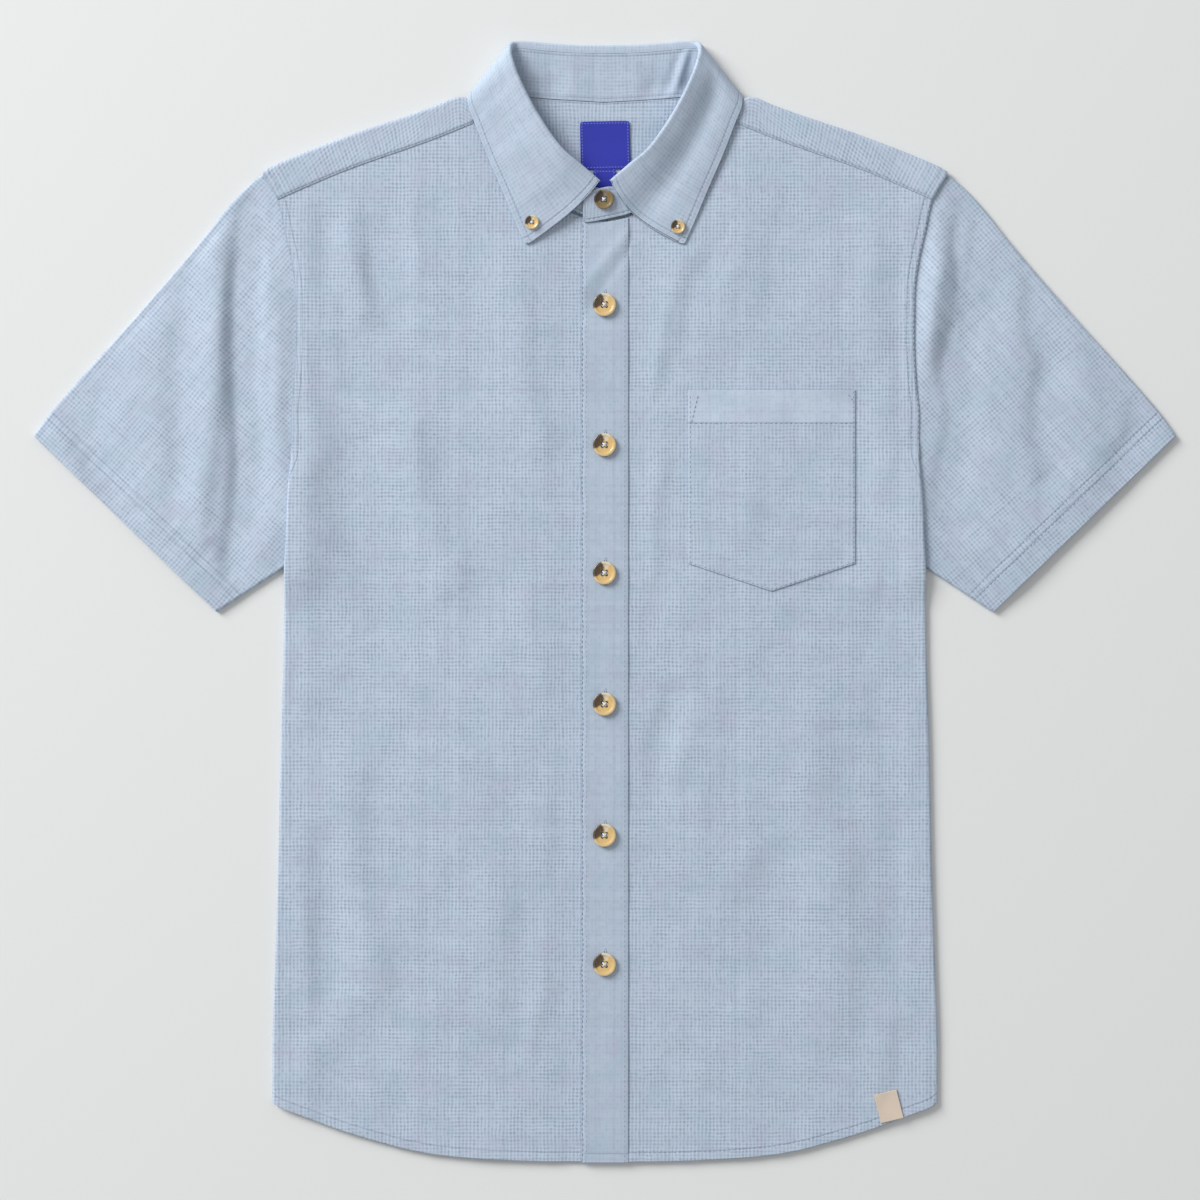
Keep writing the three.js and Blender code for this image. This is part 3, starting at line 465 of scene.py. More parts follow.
def map_faces(mesh, name, flat):
    """Gives every corner of the mesh its point's place on a flat map."""
    corner = np.zeros(len(mesh.loops), int)
    mesh.loops.foreach_get("vertex_index", corner)
    layer = mesh.uv_layers.new(name=name)
    layer.data.foreach_set("uv", flat[corner].ravel().astype(np.float32))


def new_object(name, mesh):
    made = bpy.data.objects.new(name.replace(" ", "_"), mesh)
    bpy.context.scene.collection.objects.link(made)
    return made


def thread_grains(name, stitches, wide, lift, crown, top, foot):
    """Closed six-point grains of thread, one for each stitch's start, end and way up."""
    places, faces = [], []
    for start, end, up in stitches:
        way = end - start
        side = np.cross(up, way / np.linalg.norm(way)) * wide / 2
        middle, tip = (start + end) / 2 + up * crown, up * lift * 0.8
        first = len(places)
        places += [start + tip, end + tip, middle + side, middle - side]
        places += [middle + up * top, middle - up * foot]
        for at, turn in ((0, 1), (1, -1)):
            ring = (2, 4, 3, 5)[::turn]
            faces += [(first + at, first + ring[k], first + ring[(k + 1) % 4]) for k in range(4)]
    return new_object(name, new_mesh(name, places, faces))


def sew(name, lines, length=None, gap=1.0, wide=0.42, lift=0.5):
    """Thread stitches along lines on the cloth."""
    if length is None:
        length = round(bpy.context.scene.shirt_sizes.stitch / MM, 3)
    stitches = []
    for points, normals in lines:
        sums = travelled(points)

        def read(rows, at):
            return np.array([np.interp(at, sums, rows[:, k]) for k in range(3)])

        for begin in np.arange(0.4, sums[-1] - length, length + gap):
            up = read(normals, begin + length / 2)
            ends = read(points, begin), read(points, begin + length)
            stitches.append((*ends, up / np.linalg.norm(up)))
    return thread_grains(name, stitches, wide, lift, lift, wide * 0.55, wide * 0.4)


# ---- surfaces of the pieces

def front_frame(y):
    """Radius of the side fold, cloth turned under it and where the flat part ends."""
    edge, radius = look(SIDE, y, 1), look(SIDE, y, 3)
    under = look(SIDE, y, 4) * (math.pi * radius + edge - 0.5 - radius - SIDE_SEAM - GAP)
    bend = np.minimum(1, under / (radius * 1.5))
    return radius, under, edge - bend * (CLOTH / 2 + radius)


def front_cloth(side):
    """A front with its side rolled under to the side seam."""
    start = -16 if side < 0 else PLACKET_LEFT + 3.4
    shares = spaced(0, FRONT_TALL, 3.2) / FRONT_TALL
    columns = spaced(0, FRONT_WIDE, 3.1)[:-4] / FRONT_WIDE
    columns = columns / columns[-1]
    y = np.repeat((FRONT_FOOT + FRONT_TALL * shares)[:, None], len(columns) + 30, axis=1)
    for _ in range(6):
        radius, under, flat_end = front_frame(y)
        flat = mix(start, flat_end[:, :len(columns)] - FLAT_END, columns)
        last = slice(len(columns), None)
        stops = np.stack([
            fold_stops(FLAT_END + under[:, k], radius[:, k])[:, k - len(columns)]
            for k in range(len(columns), y.shape[1])
        ], axis=1)
        length = np.concatenate([flat, flat_end[:, last] - FLAT_END + stops], axis=1)
        across = np.abs(length)
        y = mix(look(HEM, across), look(FRONT_TOP, across), shares[:, None])
    near = front_height(side * np.minimum(length, flat_end), y)
    place, height = rolled(length, flat_end, radius, near, near - 2 * radius)
    if side < 0:
        height = height - RESTING * (1 - ease(place, 20, 46))
    from_hem = y - look(HEM, across)
    height = height + 0.3 * (1 - ease(from_hem, 6.0, 7.4)) * (length < flat_end)
    height = height + puckers(length * 1.1, from_hem - 4, 7, 0.3) * (1 - ease(across, 200, 225))
    points = np.stack([side * place, y, height], axis=-1)
    return Cloth(points, np.stack([side * length, y], axis=-1))


def back_cloth():
    across = spaced(-SIDE_SEAM, SIDE_SEAM, 6) / SIDE_SEAM
    shares = spaced(0, BACK_TALL, 6) / BACK_TALL
    across, shares = np.meshgrid(across, shares)
    y = mix(-400, YOKE_SEAM_BACK, shares)
    for _ in range(5):
        x = across * look(BACK_SIDE, y)
        y = mix(look(BACK_HEM, np.abs(x)), YOKE_SEAM_BACK - GAP, shares)
    return laid_on(x, y, np.full_like(x, ON_TABLE))


def yoke_back_height(x, y):
    return ON_TABLE + 1.4 * ease(y, 328, 351) * (1 - ease(np.abs(x), 99, 118))


def yoke_cloth():
    """The yoke from the back seam over the shoulders to the front seams."""
    half = spaced(0, 246.2, 2.6)
    crest = np.concatenate([-half[:0:-1], half])
    side, crest = np.sign(crest), np.abs(crest)
    seam, top, turned = (look(YOKE_NECK, crest, k) for k in (1, 2, 3))
    turned = np.where(crest < 84, 0, turned)
    end_x = np.where(crest < 94.5, crest, mix(94.3, 235.4, (crest - 94.5) / 151.7))
    end_y = look(YOKE_FRONT_SEAM, end_x)
    far = front_height(side * mix(crest, end_x, 0.3), top - 6, False) + RESTING
    base = yoke_back_height(crest, top - 3)
    radius = (far - base) / 2
    flat_end = np.where(turned > 0, top - radius, top)
    reach = FLAT_END + turned * (math.pi * radius + flat_end - end_y)
    flat_rows = spaced(0, 90, 4)[:-4] / 90
    flat_rows = flat_rows / flat_rows[-1]
    stops = fold_stops(reach, radius, 40).T
    flat = mix(YOKE_SEAM_BACK, flat_end - FLAT_END, flat_rows[:, None])
    length = np.concatenate([flat, flat_end - FLAT_END + stops])
    place, height = rolled(length, flat_end, radius, base, far)
    past = np.maximum(0, length - flat_end - math.pi * radius)
    rising = (length - YOKE_SEAM_BACK) / (flat_end - YOKE_SEAM_BACK)
    falling = past / (flat_end - end_y)
    x = np.where(length < flat_end, mix(seam, crest, rising), mix(crest, end_x, falling))
    lying = yoke_back_height(x, place) + base - yoke_back_height(crest, top - 3)
    height = np.where(length < flat_end, lying, height)
    here = front_height(side * x, place) + RESTING
    height = np.where(past > 0, mix(height, here, ease(past, 0, 9)), height)
    soft = 0.25 * ripples(side * x * 1.3, length * 1.4) * ease(past, 2, 10)
    to_seam = np.where(past > 0, reach + flat_end - FLAT_END - length, 99)
    place = place - 0.8 * ease(x, 241, 246.5) * (length > flat_end - 4)
    height = height + soft + settle(to_seam, 0.6, 3.0)
    points = np.stack([side * x, place, height], axis=-1)
    return Cloth(points, np.stack([side * crest + 0 * length, length], axis=-1))


def sleeve_cloth(side):
    """A sleeve as a flat tube: upper layer, underarm fold, lower layer, shoulder fold."""
    top, under, head = np.array(SLEEVE_TOP, float), np.array(SLEEVE_UNDER), np.array(SLEEVE_HEAD)
    cuff = np.array([top[-1], under[-1]])

    def plan(station, share):
        a, b = along_line(top, station), along_line(under, station)
        c, d = along_line(head, share), mix(cuff[0], cuff[1], share[..., None])
        t, s = station[..., None], share[..., None]
        return (mix(c, d, t) + (1 - s) * (a - mix(head[0], cuff[0], t))
                + s * (b - mix(head[-1], cuff[1], t)))

    def heights(station, share):
        inside = station * mix(SLEEVE_LONG, SLEEVE_SHORT, share)
        low = ON_TABLE + LAYER * (1 - ease(inside, 11, 24))
        spot = plan(station, share)
        x, y = side * spot[..., 0], spot[..., 1]
        free = ease(inside, 9, 16) * (1 - 0.5 * ease(station, 0.9, 1))
        edges = ease(share, 0, 0.06) * (1 - ease(share, 0.9, 1))
        puff = ease(share, 0, 0.3) * (1 - ease(share, 0.8, 1))
        if side > 0:
            narrow = ease(share, 0.1, 0.8)
            near = 4.3 * ease(inside, 9, 28 - 7 * narrow)
            near = near * (1.06 - ease(inside, 25 - 9 * narrow, 51 - 15 * narrow))
            near = near * ease(share, 0, 0.2) * (1 - ease(share, 0.34, 0.58))
            near = near + 1.3 * ease(inside, 40 - 12 * narrow, 105) * (1 - ease(inside, 105, 240))
        else:
            near = 2.7 * ease(inside, 9, 30) * np.clip(1.1 - inside / 210, 0, 1)
        high = mix(3.5, 3.3, ease(inside, 12, 30)) + (0.4 + near) * puff * ease(inside, 8, 16)
        high = high + 4.3 * folds_at(x, y, FOLDS) * free * edges
        high = low + 1.45 + 0.5 * np.logaddexp(0, (high - low - 1.45) / 0.5)
        fine = 1.3 * folds_at(x, y, SMALL_FOLDS) + 1.1 * ripples(x, y)
        from_cuff = (1 - station) * mix(SLEEVE_LONG, SLEEVE_SHORT, share)
        hem = 0.25 * (1 - ease(from_cuff, 20.5, 22.5))
        fine = fine + puckers(share * CUFF, from_cuff - 18, 8, 0.2)
        return low, high + np.maximum(fine + 0.3, -0.5) * free * edges + hem

    stations = spaced(0, 232, 2.8)
    stations = stations / stations[-1]
    upper, lower, curl = spaced(0, 200, 3.0) / 200, np.linspace(1, 0, 40), np.arange(1, 9) / 9
    t, s = np.meshgrid(stations, upper, indexing="ij")
    ends = plan(stations[:, None], np.array([[0.0, 1.0]]).repeat(len(stations), 0))
    span = np.linalg.norm(ends[:, 1] - ends[:, 0], axis=1)[:, None]
    column = stations[:, None]
    low0, high0 = heights(column, np.full_like(column, 0.012))
    low1, high1 = heights(column, np.full_like(column, 0.988))
    r0, r1 = (high0 - low0) / 2, (high1 - low1) / 2
    begin, stop = (0.5 + r0) / span, 1 - (0.5 + r1) / span
    share_up = mix(begin, stop, s)
    z_up = mix(high0, heights(t, share_up)[1], ease(s, 0, 0.03))
    z_up = mix(z_up, high1, ease(s, 0.97, 1))
    share_low = mix(begin, stop, lower[None, :])
    z_low = heights(column + 0 * share_low, share_low)[0]
    z_low = mix(z_low, low0, ease(1 - lower, 0.95, 1))
    turn = math.pi * curl[None, :]
    share_a = stop + r1 * np.sin(turn) / span
    z_a = (high1 + low1) / 2 + r1 * np.cos(turn)
    share_b = begin - r0 * np.sin(turn) / span
    z_b = (high0 + low0) / 2 - r0 * np.cos(turn)
    share = np.concatenate([share_up, share_a, share_low, share_b], axis=1)
    z = np.concatenate([z_up, z_a, z_low, z_b], axis=1)
    spot = plan(column + 0 * share, share)
    points = np.stack([side * spot[..., 0], spot[..., 1], z], axis=-1)
    x, y, c, s = spot[..., 0], spot[..., 1], math.cos(SLEEVE_GRAIN), math.sin(SLEEVE_GRAIN)
    weave = np.stack([y * c - x * s, x * c + y * s], axis=-1)
    made = Cloth(points, weave, ring=True)
    made.upper = len(upper)
    return made


def collar_frame(place, side):
    """Roll, outer edge and directions of the collar at places along its table."""
    row = between(LEAF, place)
    lift = np.where(side > 0, LEFT_LIFT * ease(place, 10, 13), 0)
    standing = np.where(side > 0, 1.0, 1.4) * ROLL_RISE * ease(place, 6.0, 9)
    standing = standing * (1 - ease(place, 11.0, 13))
    roll = np.stack([side * row[:, 0], row[:, 1], row[:, 2] + lift + standing], axis=-1)
    edge = np.stack([side * row[:, 3], row[:, 4], row[:, 5]], axis=-1)
    way = (edge - roll) * (1, 1, 0)
    way /= np.linalg.norm(way, axis=1, keepdims=True)
    face = np.radians(row[:, 6])
    normal = np.stack([
        side * np.abs(way[:, 1]) * np.cos(face), np.abs(way[:, 0]) * np.cos(face), np.sin(face)
    ], axis=-1)
    return roll, edge, way, normal, lift


def collar_places(step):
    last = len(LEAF) - 1
    half = np.concatenate([np.arange(0, last, step), [last - 0.05, last - 0.02, last]])
    side = np.concatenate([-np.ones(len(half)), np.ones(len(half) - 1)])
    return np.concatenate([half[::-1], half[1:]]), side


def leaf_surface(place, side, part):
    """Upper or outer face of the leaf from the roll (0) to its edge (1)."""
    roll, edge, _, normal, _ = collar_frame(place, side)
    last_place = len(LEAF) - 1
    start = roll + normal * ROLL_RADIUS
    on_front = ease(place, 7.5, 9)
    arch = np.sin(math.pi * part)
    sag = np.where(side > 0, 1.1, 0.3) * arch * on_front
    wave = 0.25 * np.sin(place * 5.0 + side * 1.3 + part * 2) * arch * on_front
    drop = np.where(side > 0, 3.3, 0.4) * on_front * np.exp(-(((part - 0.44) / 0.2) ** 2))
    full = np.where(side > 0, 6.8, 2.8) * ease(place, 10.5, 13) * np.sin(math.pi * part ** 0.75)
    point = mix(start, edge, part[:, None])
    point[:, 0] -= 0.654 * full * side
    point[:, 1] -= 0.757 * full
    point[:, 2] += wave - sag - drop
    point[:, 1] += 1.3 * ease(part, 0.93, 1) * ease(place, last_place - 0.2, last_place)
    return point


def leaf_cloth():
    """The leaf from inside the stand, round the roll, to its outer edge."""
    place, side = collar_places(0.07)
    roll, _, way, normal, _ = collar_frame(place, side)
    start = roll - normal * ROLL_RADIUS
    rows = [start + way * LEAF_START * (1 - k) for k in (0, 0.1, 0.3, 0.6, 1)]
    for k in range(1, 10):
        turn = math.pi * k / 10
        out, down = way * ROLL_RADIUS * math.sin(turn), normal * ROLL_RADIUS * math.cos(turn)
        rows.append(roll - out - down)
    for part in spaced(0, LEAF_TALL, 1.8, 0.35) / LEAF_TALL:
        rows.append(leaf_surface(place, side, np.full(len(place), part)))
    points = np.stack(rows, axis=0)
    along = travelled(points[25])
    down = np.cumsum(np.concatenate([[0], np.linalg.norm(np.diff(points, axis=0), axis=2).mean(1)]))
    weave = np.stack(np.meshgrid(along - along.mean(), down), axis=-1)
    return Cloth(points, weave)


def stand_cloth():
    """The stand from the roll to the neck seam, with its tail and its buttoned tip."""
    place, side = collar_places(0.1)
    roll, _, way, normal, lift = collar_frame(place, side)
    seam = between(NECK_SEAM, place)
    upper = roll - normal * ROLL_RADIUS + way * (LEAF_START + 0.1)
    lower = np.stack([side * seam[:, 0], seam[:, 1], seam[:, 2] + lift], axis=-1)
    rows = np.concatenate([upper, lower], axis=1)
    tail = np.array(STAND_TAIL, float)[::-1] * (-1, 1, 1, -1, 1, 1)
    tip = np.array(STAND_TIP, float)
    lines = np.concatenate([tail, rows, tip])
    first, last = len(tail), len(tail) + len(rows)
    keep = [*range(first), *range(first, last, 6), *range(last, len(lines))]
    lines = between(lines[keep], np.linspace(0, len(keep) - 1, 6 * len(keep)))
    parts = spaced(0, STAND_TALL, 1.6, 0.35) / STAND_TALL
    points = np.stack([mix(lines[:, :3], lines[:, 3:], part) for part in parts], axis=0)
    x, y, arch = points[..., 0], points[..., 1], np.sin(np.pi * parts)[:, None]
    under_leaf = (1 - ease(y, 365, 385)) * ease(np.abs(x), 22, 40)
    points[..., 2] -= 2.2 * under_leaf * arch
    pleats = 0
    for at, lean, wide, high in STAND_PLEATS:
        line = x - at - lean * (y - 380)
        pleats = pleats + high * np.exp(-((line / wide) ** 2)) * arch ** 0.6 * (y > 350)
    points[..., 2] += np.maximum(pleats, -0.5)
    return Cloth(points, np.stack(np.meshgrid(travelled(points[8]), parts * STAND_TALL), axis=-1))


def settle(away, drop, reach=2.2):
    """Edge of a sewn-down piece that bends towards the cloth under it."""
    return -drop * (1 - ease(away, 0, reach)) ** 1.5


def laid_on(x, y, height):
    return Cloth(np.stack([x, y, height], axis=-1), np.stack([x, y], axis=-1))


def placket_height(x, y):
    pull = 0
    for at in FRONT_BUTTON_Y:
        pull = pull - 0.18 * np.exp(-(((y - at) / 7) ** 2 + (x / 7) ** 2))
    wave = 0.16 * np.sin(y / 11.5 + 1.1 * np.sin(y / 37))
    wave = wave + 0.8 * np.exp(-(((y - x * 1.2 - 245) / 7) ** 2))
    wave = wave - 0.5 * np.exp(-(((y - x * 1.4 - 228) / 6) ** 2))
    wave = wave + 0.2 * np.sin(y / 4.2) * np.exp(-((y + 396) / 12) ** 2)
    return front_height(x, y, False) + RESTING + pull + wave


def placket_cloth():
    across = spaced(PLACKET_LEFT, PLACKET_RIGHT, 1.6, 0.35)
    up = spaced(0, BAND_TALL, 2.6) / BAND_TALL
    x, up = np.meshgrid(across, up)
    top = look(FRONT_TOP, np.maximum(0, x)) - 0.8
    y = mix(BAND_FOOT, top, up)
    down = settle(x - PLACKET_LEFT, 0.5, 2.4) + settle(PLACKET_RIGHT - x, 0.25)
    drawn = 0.35 * np.sin(y / 5.3 + 2 * np.sin(y / 31)) * (1 - ease(x - PLACKET_LEFT, 0, 6))
    return laid_on(x + drawn, y, placket_height(x, y) + down + drawn * 0.3)


def pocket_height(x, y):
    return front_height(x, y) + RESTING + 0.05


def pocket_cloth():
    across = spaced(POCKET_LEFT, POCKET_RIGHT, 2.0, 0.35)
    x, up = np.meshgrid(across, spaced(0, POCKET_TALL, 2.0, 0.35) / POCKET_TALL)
    middle, half = (POCKET_LEFT + POCKET_RIGHT) / 2, (POCKET_RIGHT - POCKET_LEFT) / 2
    foot = mix(POCKET_FOOT, POCKET_SIDE, np.abs(x - middle) / half)
    y = mix(foot, POCKET_TOP, up)
    full = np.sin(math.pi * (x - POCKET_LEFT) / (2 * half))
    mouth = 0.7 * np.exp(-(((y - POCKET_TOP) / 10) ** 2)) * full
    body = 0.5 * full * np.sin(math.pi * up)
    away = np.minimum(np.minimum(x - POCKET_LEFT, POCKET_RIGHT - x), y - foot)
    height = pocket_height(x, y) + np.maximum(mouth, 0) + body + settle(away, 0.15, 1.6)
    return laid_on(x, y, height)


def tab_cloth(box, lift, turn):
    """A tape with slightly rounded corners on the inside of the yoke."""
    left, right, bottom, top = box
    x, y = np.meshgrid(spaced(left, right, 1.5, 0.25), spaced(bottom, top, 1.5, 0.25))
    u, v = (x - left) / (right - left) * 2 - 1, (y - bottom) / (top - bottom) * 2 - 1
    corner = (u * v) ** 12
    x, y = x - 0.6 * u * corner, y - 0.6 * v * corner
    x, y = x + turn * (y - bottom), y - turn * x
    return laid_on(x, y, yoke_back_height(x, y) + RESTING + lift)


def hem_tab_cloth():
    cx, cy, wide, tall, turn = HEM_TAB
    u, v = np.meshgrid(*(spaced(-size / 2, size / 2, 1.2, 0.25) for size in (wide, tall)))
    c, s = math.cos(math.radians(turn)), math.sin(math.radians(turn))
    x, y = cx + u * c - v * s, cy + u * s + v * c
    made = laid_on(x, y, front_height(x, y) + RESTING + 0.3)
    made.weave = np.stack([u, v], axis=-1)
    return made


# ---- paints

def arithmetic(operation, reflected=False):
    """A method that adds the Math node of one operation."""
    def method(self, *others):
        values = (*others, self) if reflected else (self, *others)
        return self.paint.node("ShaderNodeMath", {"operation": operation}, values)
    return method


class Amount:
    """A socket that carries a number, with arithmetic."""

    def __init__(self, paint, socket):
        self.paint, self.socket = paint, socket

    __add__ = __radd__ = arithmetic("ADD")
    __sub__, __rsub__ = arithmetic("SUBTRACT"), arithmetic("SUBTRACT", True)
    __mul__ = __rmul__ = arithmetic("MULTIPLY")
    __truediv__ = arithmetic("DIVIDE")
    fraction, whole, size = arithmetic("FRACT"), arithmetic("FLOOR"), arithmetic("ABSOLUTE")
    larger, smaller = arithmetic("MAXIMUM"), arithmetic("MINIMUM")

    def within(self, start, end):
        """0 below start, 1 above end, smooth between."""
        settings = {"interpolation_type": "SMOOTHSTEP"}
        values = {0: self, 1: start, 2: end, 3: 0.0, 4: 1.0}
        return self.paint.node("ShaderNodeMapRange", settings, values)


class Paint:
    """The nodes of one finish."""

    def __init__(self, name):
        self.material = bpy.data.materials.new(name)
        self.material.use_nodes = True
        self.tree = self.material.node_tree
        self.shader = next(n for n in self.tree.nodes if n.type == "BSDF_PRINCIPLED")

    def node(self, kind, settings=None, values=(), output=0):
        made = self.tree.nodes.new(kind)
        for key, value in (settings or {}).items():
            setattr(made, key, value)
        pairs = values.items() if isinstance(values, dict) else enumerate(values)
        for key, value in pairs:
            if isinstance(value, Amount):
                self.tree.links.new(value.socket, made.inputs[key])
            else:
                made.inputs[key].default_value = value
        return Amount(self, made.outputs[output])

    def place(self, name="weave"):
        """Place in the weave, in metres, or on a button's face."""
        return self.node("ShaderNodeUVMap", {"uv_map": name})

    def split(self, vector):
        return [self.node("ShaderNodeSeparateXYZ", None, (vector,), k) for k in (0, 1)]

    def attribute(self, name):
        return self.node("ShaderNodeAttribute", {"attribute_name": name}, (), "Fac")

    def noise(self, vector, scale, detail=2.0):
        values = {"Vector": vector, "Scale": scale, "Detail": detail}
        return self.node("ShaderNodeTexNoise", None, values)

    def scatter(self, x, y):
        """A steady random number for each whole x and y."""
        vector = self.node("ShaderNodeCombineXYZ", None, (x, y))
        return self.node("ShaderNodeTexWhiteNoise", {"noise_dimensions": "3D"}, (vector,), "Value")

    def blend(self, a, b, factor):
        settings = {"data_type": "RGBA"}
        return self.node("ShaderNodeMix", settings, {0: factor, 6: a, 7: b}, 2)

    def wear(self, base=None, height=None, distance=0.0002, strength=1.0, **plain):
        """Sets the shader: base colour, relief and plain numbers."""
        if isinstance(base, Amount):
            self.tree.links.new(base.socket, self.shader.inputs["Base Color"])
        elif base is not None:
            self.shader.inputs["Base Color"].default_value = base
        if height is not None:
            values = {"Height": height, "Distance": distance, "Strength": strength}
            bump = self.node("ShaderNodeBump", None, values)
            self.tree.links.new(bump.socket, self.shader.inputs["Normal"])
        for name, value in plain.items():
            socket = self.shader.inputs[name.replace("_", " ")]
            if isinstance(value, Amount):
                self.tree.links.new(value.socket, socket)
            else:
                socket.default_value = value
        return self.material


def shade(colour, k):
    return (min(1, colour[0] * k), min(1, colour[1] * k), min(1, colour[2] * k), 1)


def cloth_paint(name, seams, plain=0.0, tone=1.0, smooth_hem=0.0):
    """Light blue cloth woven in small squares. seams are (edge, distance) pairs in mm; along them
    the colour is darkened as painted shade of the seam grooves, and the bump sinks them. tone
    scales both cloth colours, giving a lighter or darker copy of the cloth for a piece.
    """
    sizes, colours = bpy.context.scene.shirt_sizes, bpy.context.scene.shirt_colours
    paint = Paint(name)
    place = paint.place()
    warp_shift = (paint.noise(place, 9.0, 1.0) - 0.5) * 0.0012
    u, v = paint.split(place)
    wander = (paint.noise(place, 85.0, 1.0) - 0.5) * 0.6
    u, v = (u + warp_shift) / sizes.weave + wander, (v + warp_shift) / sizes.weave - wander
    middle_u = 1 - ((u.fraction() - 0.5).size() * 2).within(0.0, 1.0)
    middle_v = 1 - ((v.fraction() - 0.5).size() * 2).within(0.0, 1.0)
    warp = paint.scatter(u.whole(), 3.0)
    weft = paint.scatter(7.0, v.whole())
    cell = paint.scatter(u.whole(), v.whole())
    upright = paint.noise(place, 70.0, 2.0).within(0.35, 0.65)
    level = paint.noise(place, 55.0, 2.0).within(0.35, 0.65)
    square = (middle_u - 0.5) * (upright * 0.4 + 0.34) + (middle_v - 0.5) * (level * 0.45 + 0.14)
    square = square + middle_u * middle_v * cell * 0.4 + 0.38
    fine = paint.noise(place, 1300.0, 1.0)
    broad = paint.noise(place, 11.0, 2.0)
    depth = 1.0 - plain
    if smooth_hem:
        hem = 1 - paint.attribute("from_head").within(smooth_hem * MM - 0.0004, smooth_hem * MM)
        square = square * (1 - hem * 0.65)
    tone_value = square * (0.74 * depth) + (0.02 + 0.28 * plain)
    for pattern, weight in ((warp, 0.12), (weft, 0.1), (cell, 0.12), (fine, 0.45), (broad, 0.14)):
        tone_value = tone_value + (pattern - 0.5) * weight
    # Painted shade: the cloth is darkened along the seam lines as if shaded in their grooves; the
    # same mask also sinks the bump.
    groove_and_shade = reduce(Amount.larger, [
        1 - (paint.attribute("from_" + edge) - distance * MM).size().within(0.0001, 0.0010)
        for edge, distance in seams
    ])
    tone_value = tone_value + groove_and_shade * 0.34
    light, dark = shade(colours.cloth, tone), shade(colours.cloth_line, tone)
    base = paint.blend(light, dark, tone_value.larger(0.0).smaller(1.0))
    lilac = paint.noise(place, 42.0, 3.0).within(0.48, 0.72) * 0.22 + (warp - 0.6).larger(0.0) * 0.2
    base = paint.blend(base, shade(colours.lilac, tone), lilac)
    teal = (0.5 - paint.noise(place, 37.0, 3.0)).within(0.0, 0.2) * 0.2
    base = paint.blend(base, shade(colours.teal, tone), teal)
    height = (1 - square) * (0.5 * depth + 0.1) + fine * 0.3 - groove_and_shade * 1.3
    return paint.wear(base, height, 0.00014, 0.8, Roughness=0.92, Specular_IOR_Level=0.12,
                      Sheen_Weight=0.04, Sheen_Roughness=0.5)


def sewing(name="sewing thread"):
    """Finish of a kind of thread, made when it is first used."""
    colours = bpy.context.scene.shirt_colours
    tones = {
        "sewing thread": colours.thread, "shaded thread": colours.shaded_thread,
        "pale thread": colours.pale_thread, "button thread": colours.button_thread,
    }
    found = bpy.data.materials.get(name)
    return found or Paint(name).wear((*tones[name], 1), Roughness=0.7, Specular_IOR_Level=0.2)


def tape_paint(name, colour, darker, pitch, stitched=True):
    """Closely woven tape; light stitches run round a stitched one."""
    paint = Paint(name)
    place = paint.place()
    u, v = paint.split(place)
    rib = ((v / pitch).fraction() - 0.5).size() * 2
    twill = ((u / (pitch * 1.7) + (v / (pitch * 2)).whole() * 0.5).fraction() - 0.5).size() * 2
    tone = rib * 0.25 + twill * 0.2 + paint.noise(place, 600.0) * 0.4
    base = paint.blend((*colour, 1), (*darker, 1), tone.smaller(1.0))
    height = rib * 0.5 + twill * 0.4
    if stitched:
        bands = []
        for side, along in (("foot", u), ("head", u), ("start", v), ("end", v)):
            dash = ((along / 0.0022).fraction() - 0.5).size().within(0.2, 0.3)
            away = (paint.attribute("from_" + side) - 0.0014).size()
            bands.append((1 - away.within(0.0001, 0.0004)) * (1 - dash))
        edge = reduce(Amount.larger, bands)
        base = paint.blend(base, TAPE_THREAD, edge * 0.6)
        height = height + edge
    return paint.wear(base, height, 0.0001, 0.8, Roughness=0.75, Specular_IOR_Level=0.25)


def horn_paint(name, tone=1.0):
    """Amber horn with a dark sector and a pale streak, and a painted highlight on its rim,
    brightest at the bottom. A tone below 1 makes a darker copy of the horn, used as painted shade.
    """
    colours = bpy.context.scene.shirt_colours
    paint = Paint(name)
    place = paint.place("face")
    u, v = paint.split(place)
    cloud = (paint.noise(place, 1.6, 3.0) - 0.5) * 0.7
    veins = paint.noise(paint.node("ShaderNodeMapping", {"vector_type": "POINT"}, {
        0: place, 2: (0, 0, 0.9), 3: (9.0, 2.2, 1.0)}), 1.4, 4.0)
    forward, across = v * 0.55 - u * 0.83, u * 0.55 + v * 0.83
    rough = (paint.noise(place, 6.0, 3.0) - 0.5) * 0.5
    dark = (forward - across.size() * 0.55 + cloud + rough).within(-0.1, 0.14)
    streak = (v - (u - 0.16).size() * 1.7 + cloud + rough).within(0.0, 0.4)
    # Painted highlight: the rim is lightened with cream, most at the bottom.
    rim = (u * u + v * v).within(0.70, 0.80) * (0.5 - v * 0.4)
    names = ("horn_amber", "horn_gold", "horn_cream")
    amber, gold, cream = (shade(getattr(colours, name), tone) for name in names)
    base = paint.blend(amber, gold, veins.within(0.2, 0.5))
    base = paint.blend(base, cream, rim.larger(0.0) * 0.45)
    base = paint.blend(base, (*colours.horn_dark, 1), dark * (veins * -0.5 + 1.15).smaller(1.0))
    base = paint.blend(base, cream, streak * 0.85)
    return paint.wear(base, Roughness=0.28, Specular_IOR_Level=0.5, Coat_Weight=0.3)


# ---- pieces

def finish_cloth(made, paint, node):
    """Paints a piece of cloth and puts it in the place of its solid."""
    made.data.materials.append(paint)
    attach(made, "root")
    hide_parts(node)


def lay(cloth, name, node, paint_name, seams, thick=None, **finish):
    """A shell of woven cloth, painted and in the place of its solid."""
    made = cloth.shell(name, thick)
    finish_cloth(made, cloth_paint(paint_name, seams, **finish), node)
    return made


def finish_thread(made, name="sewing thread"):
    made.data.materials.append(sewing(name))
    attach(made, "root")
    return made


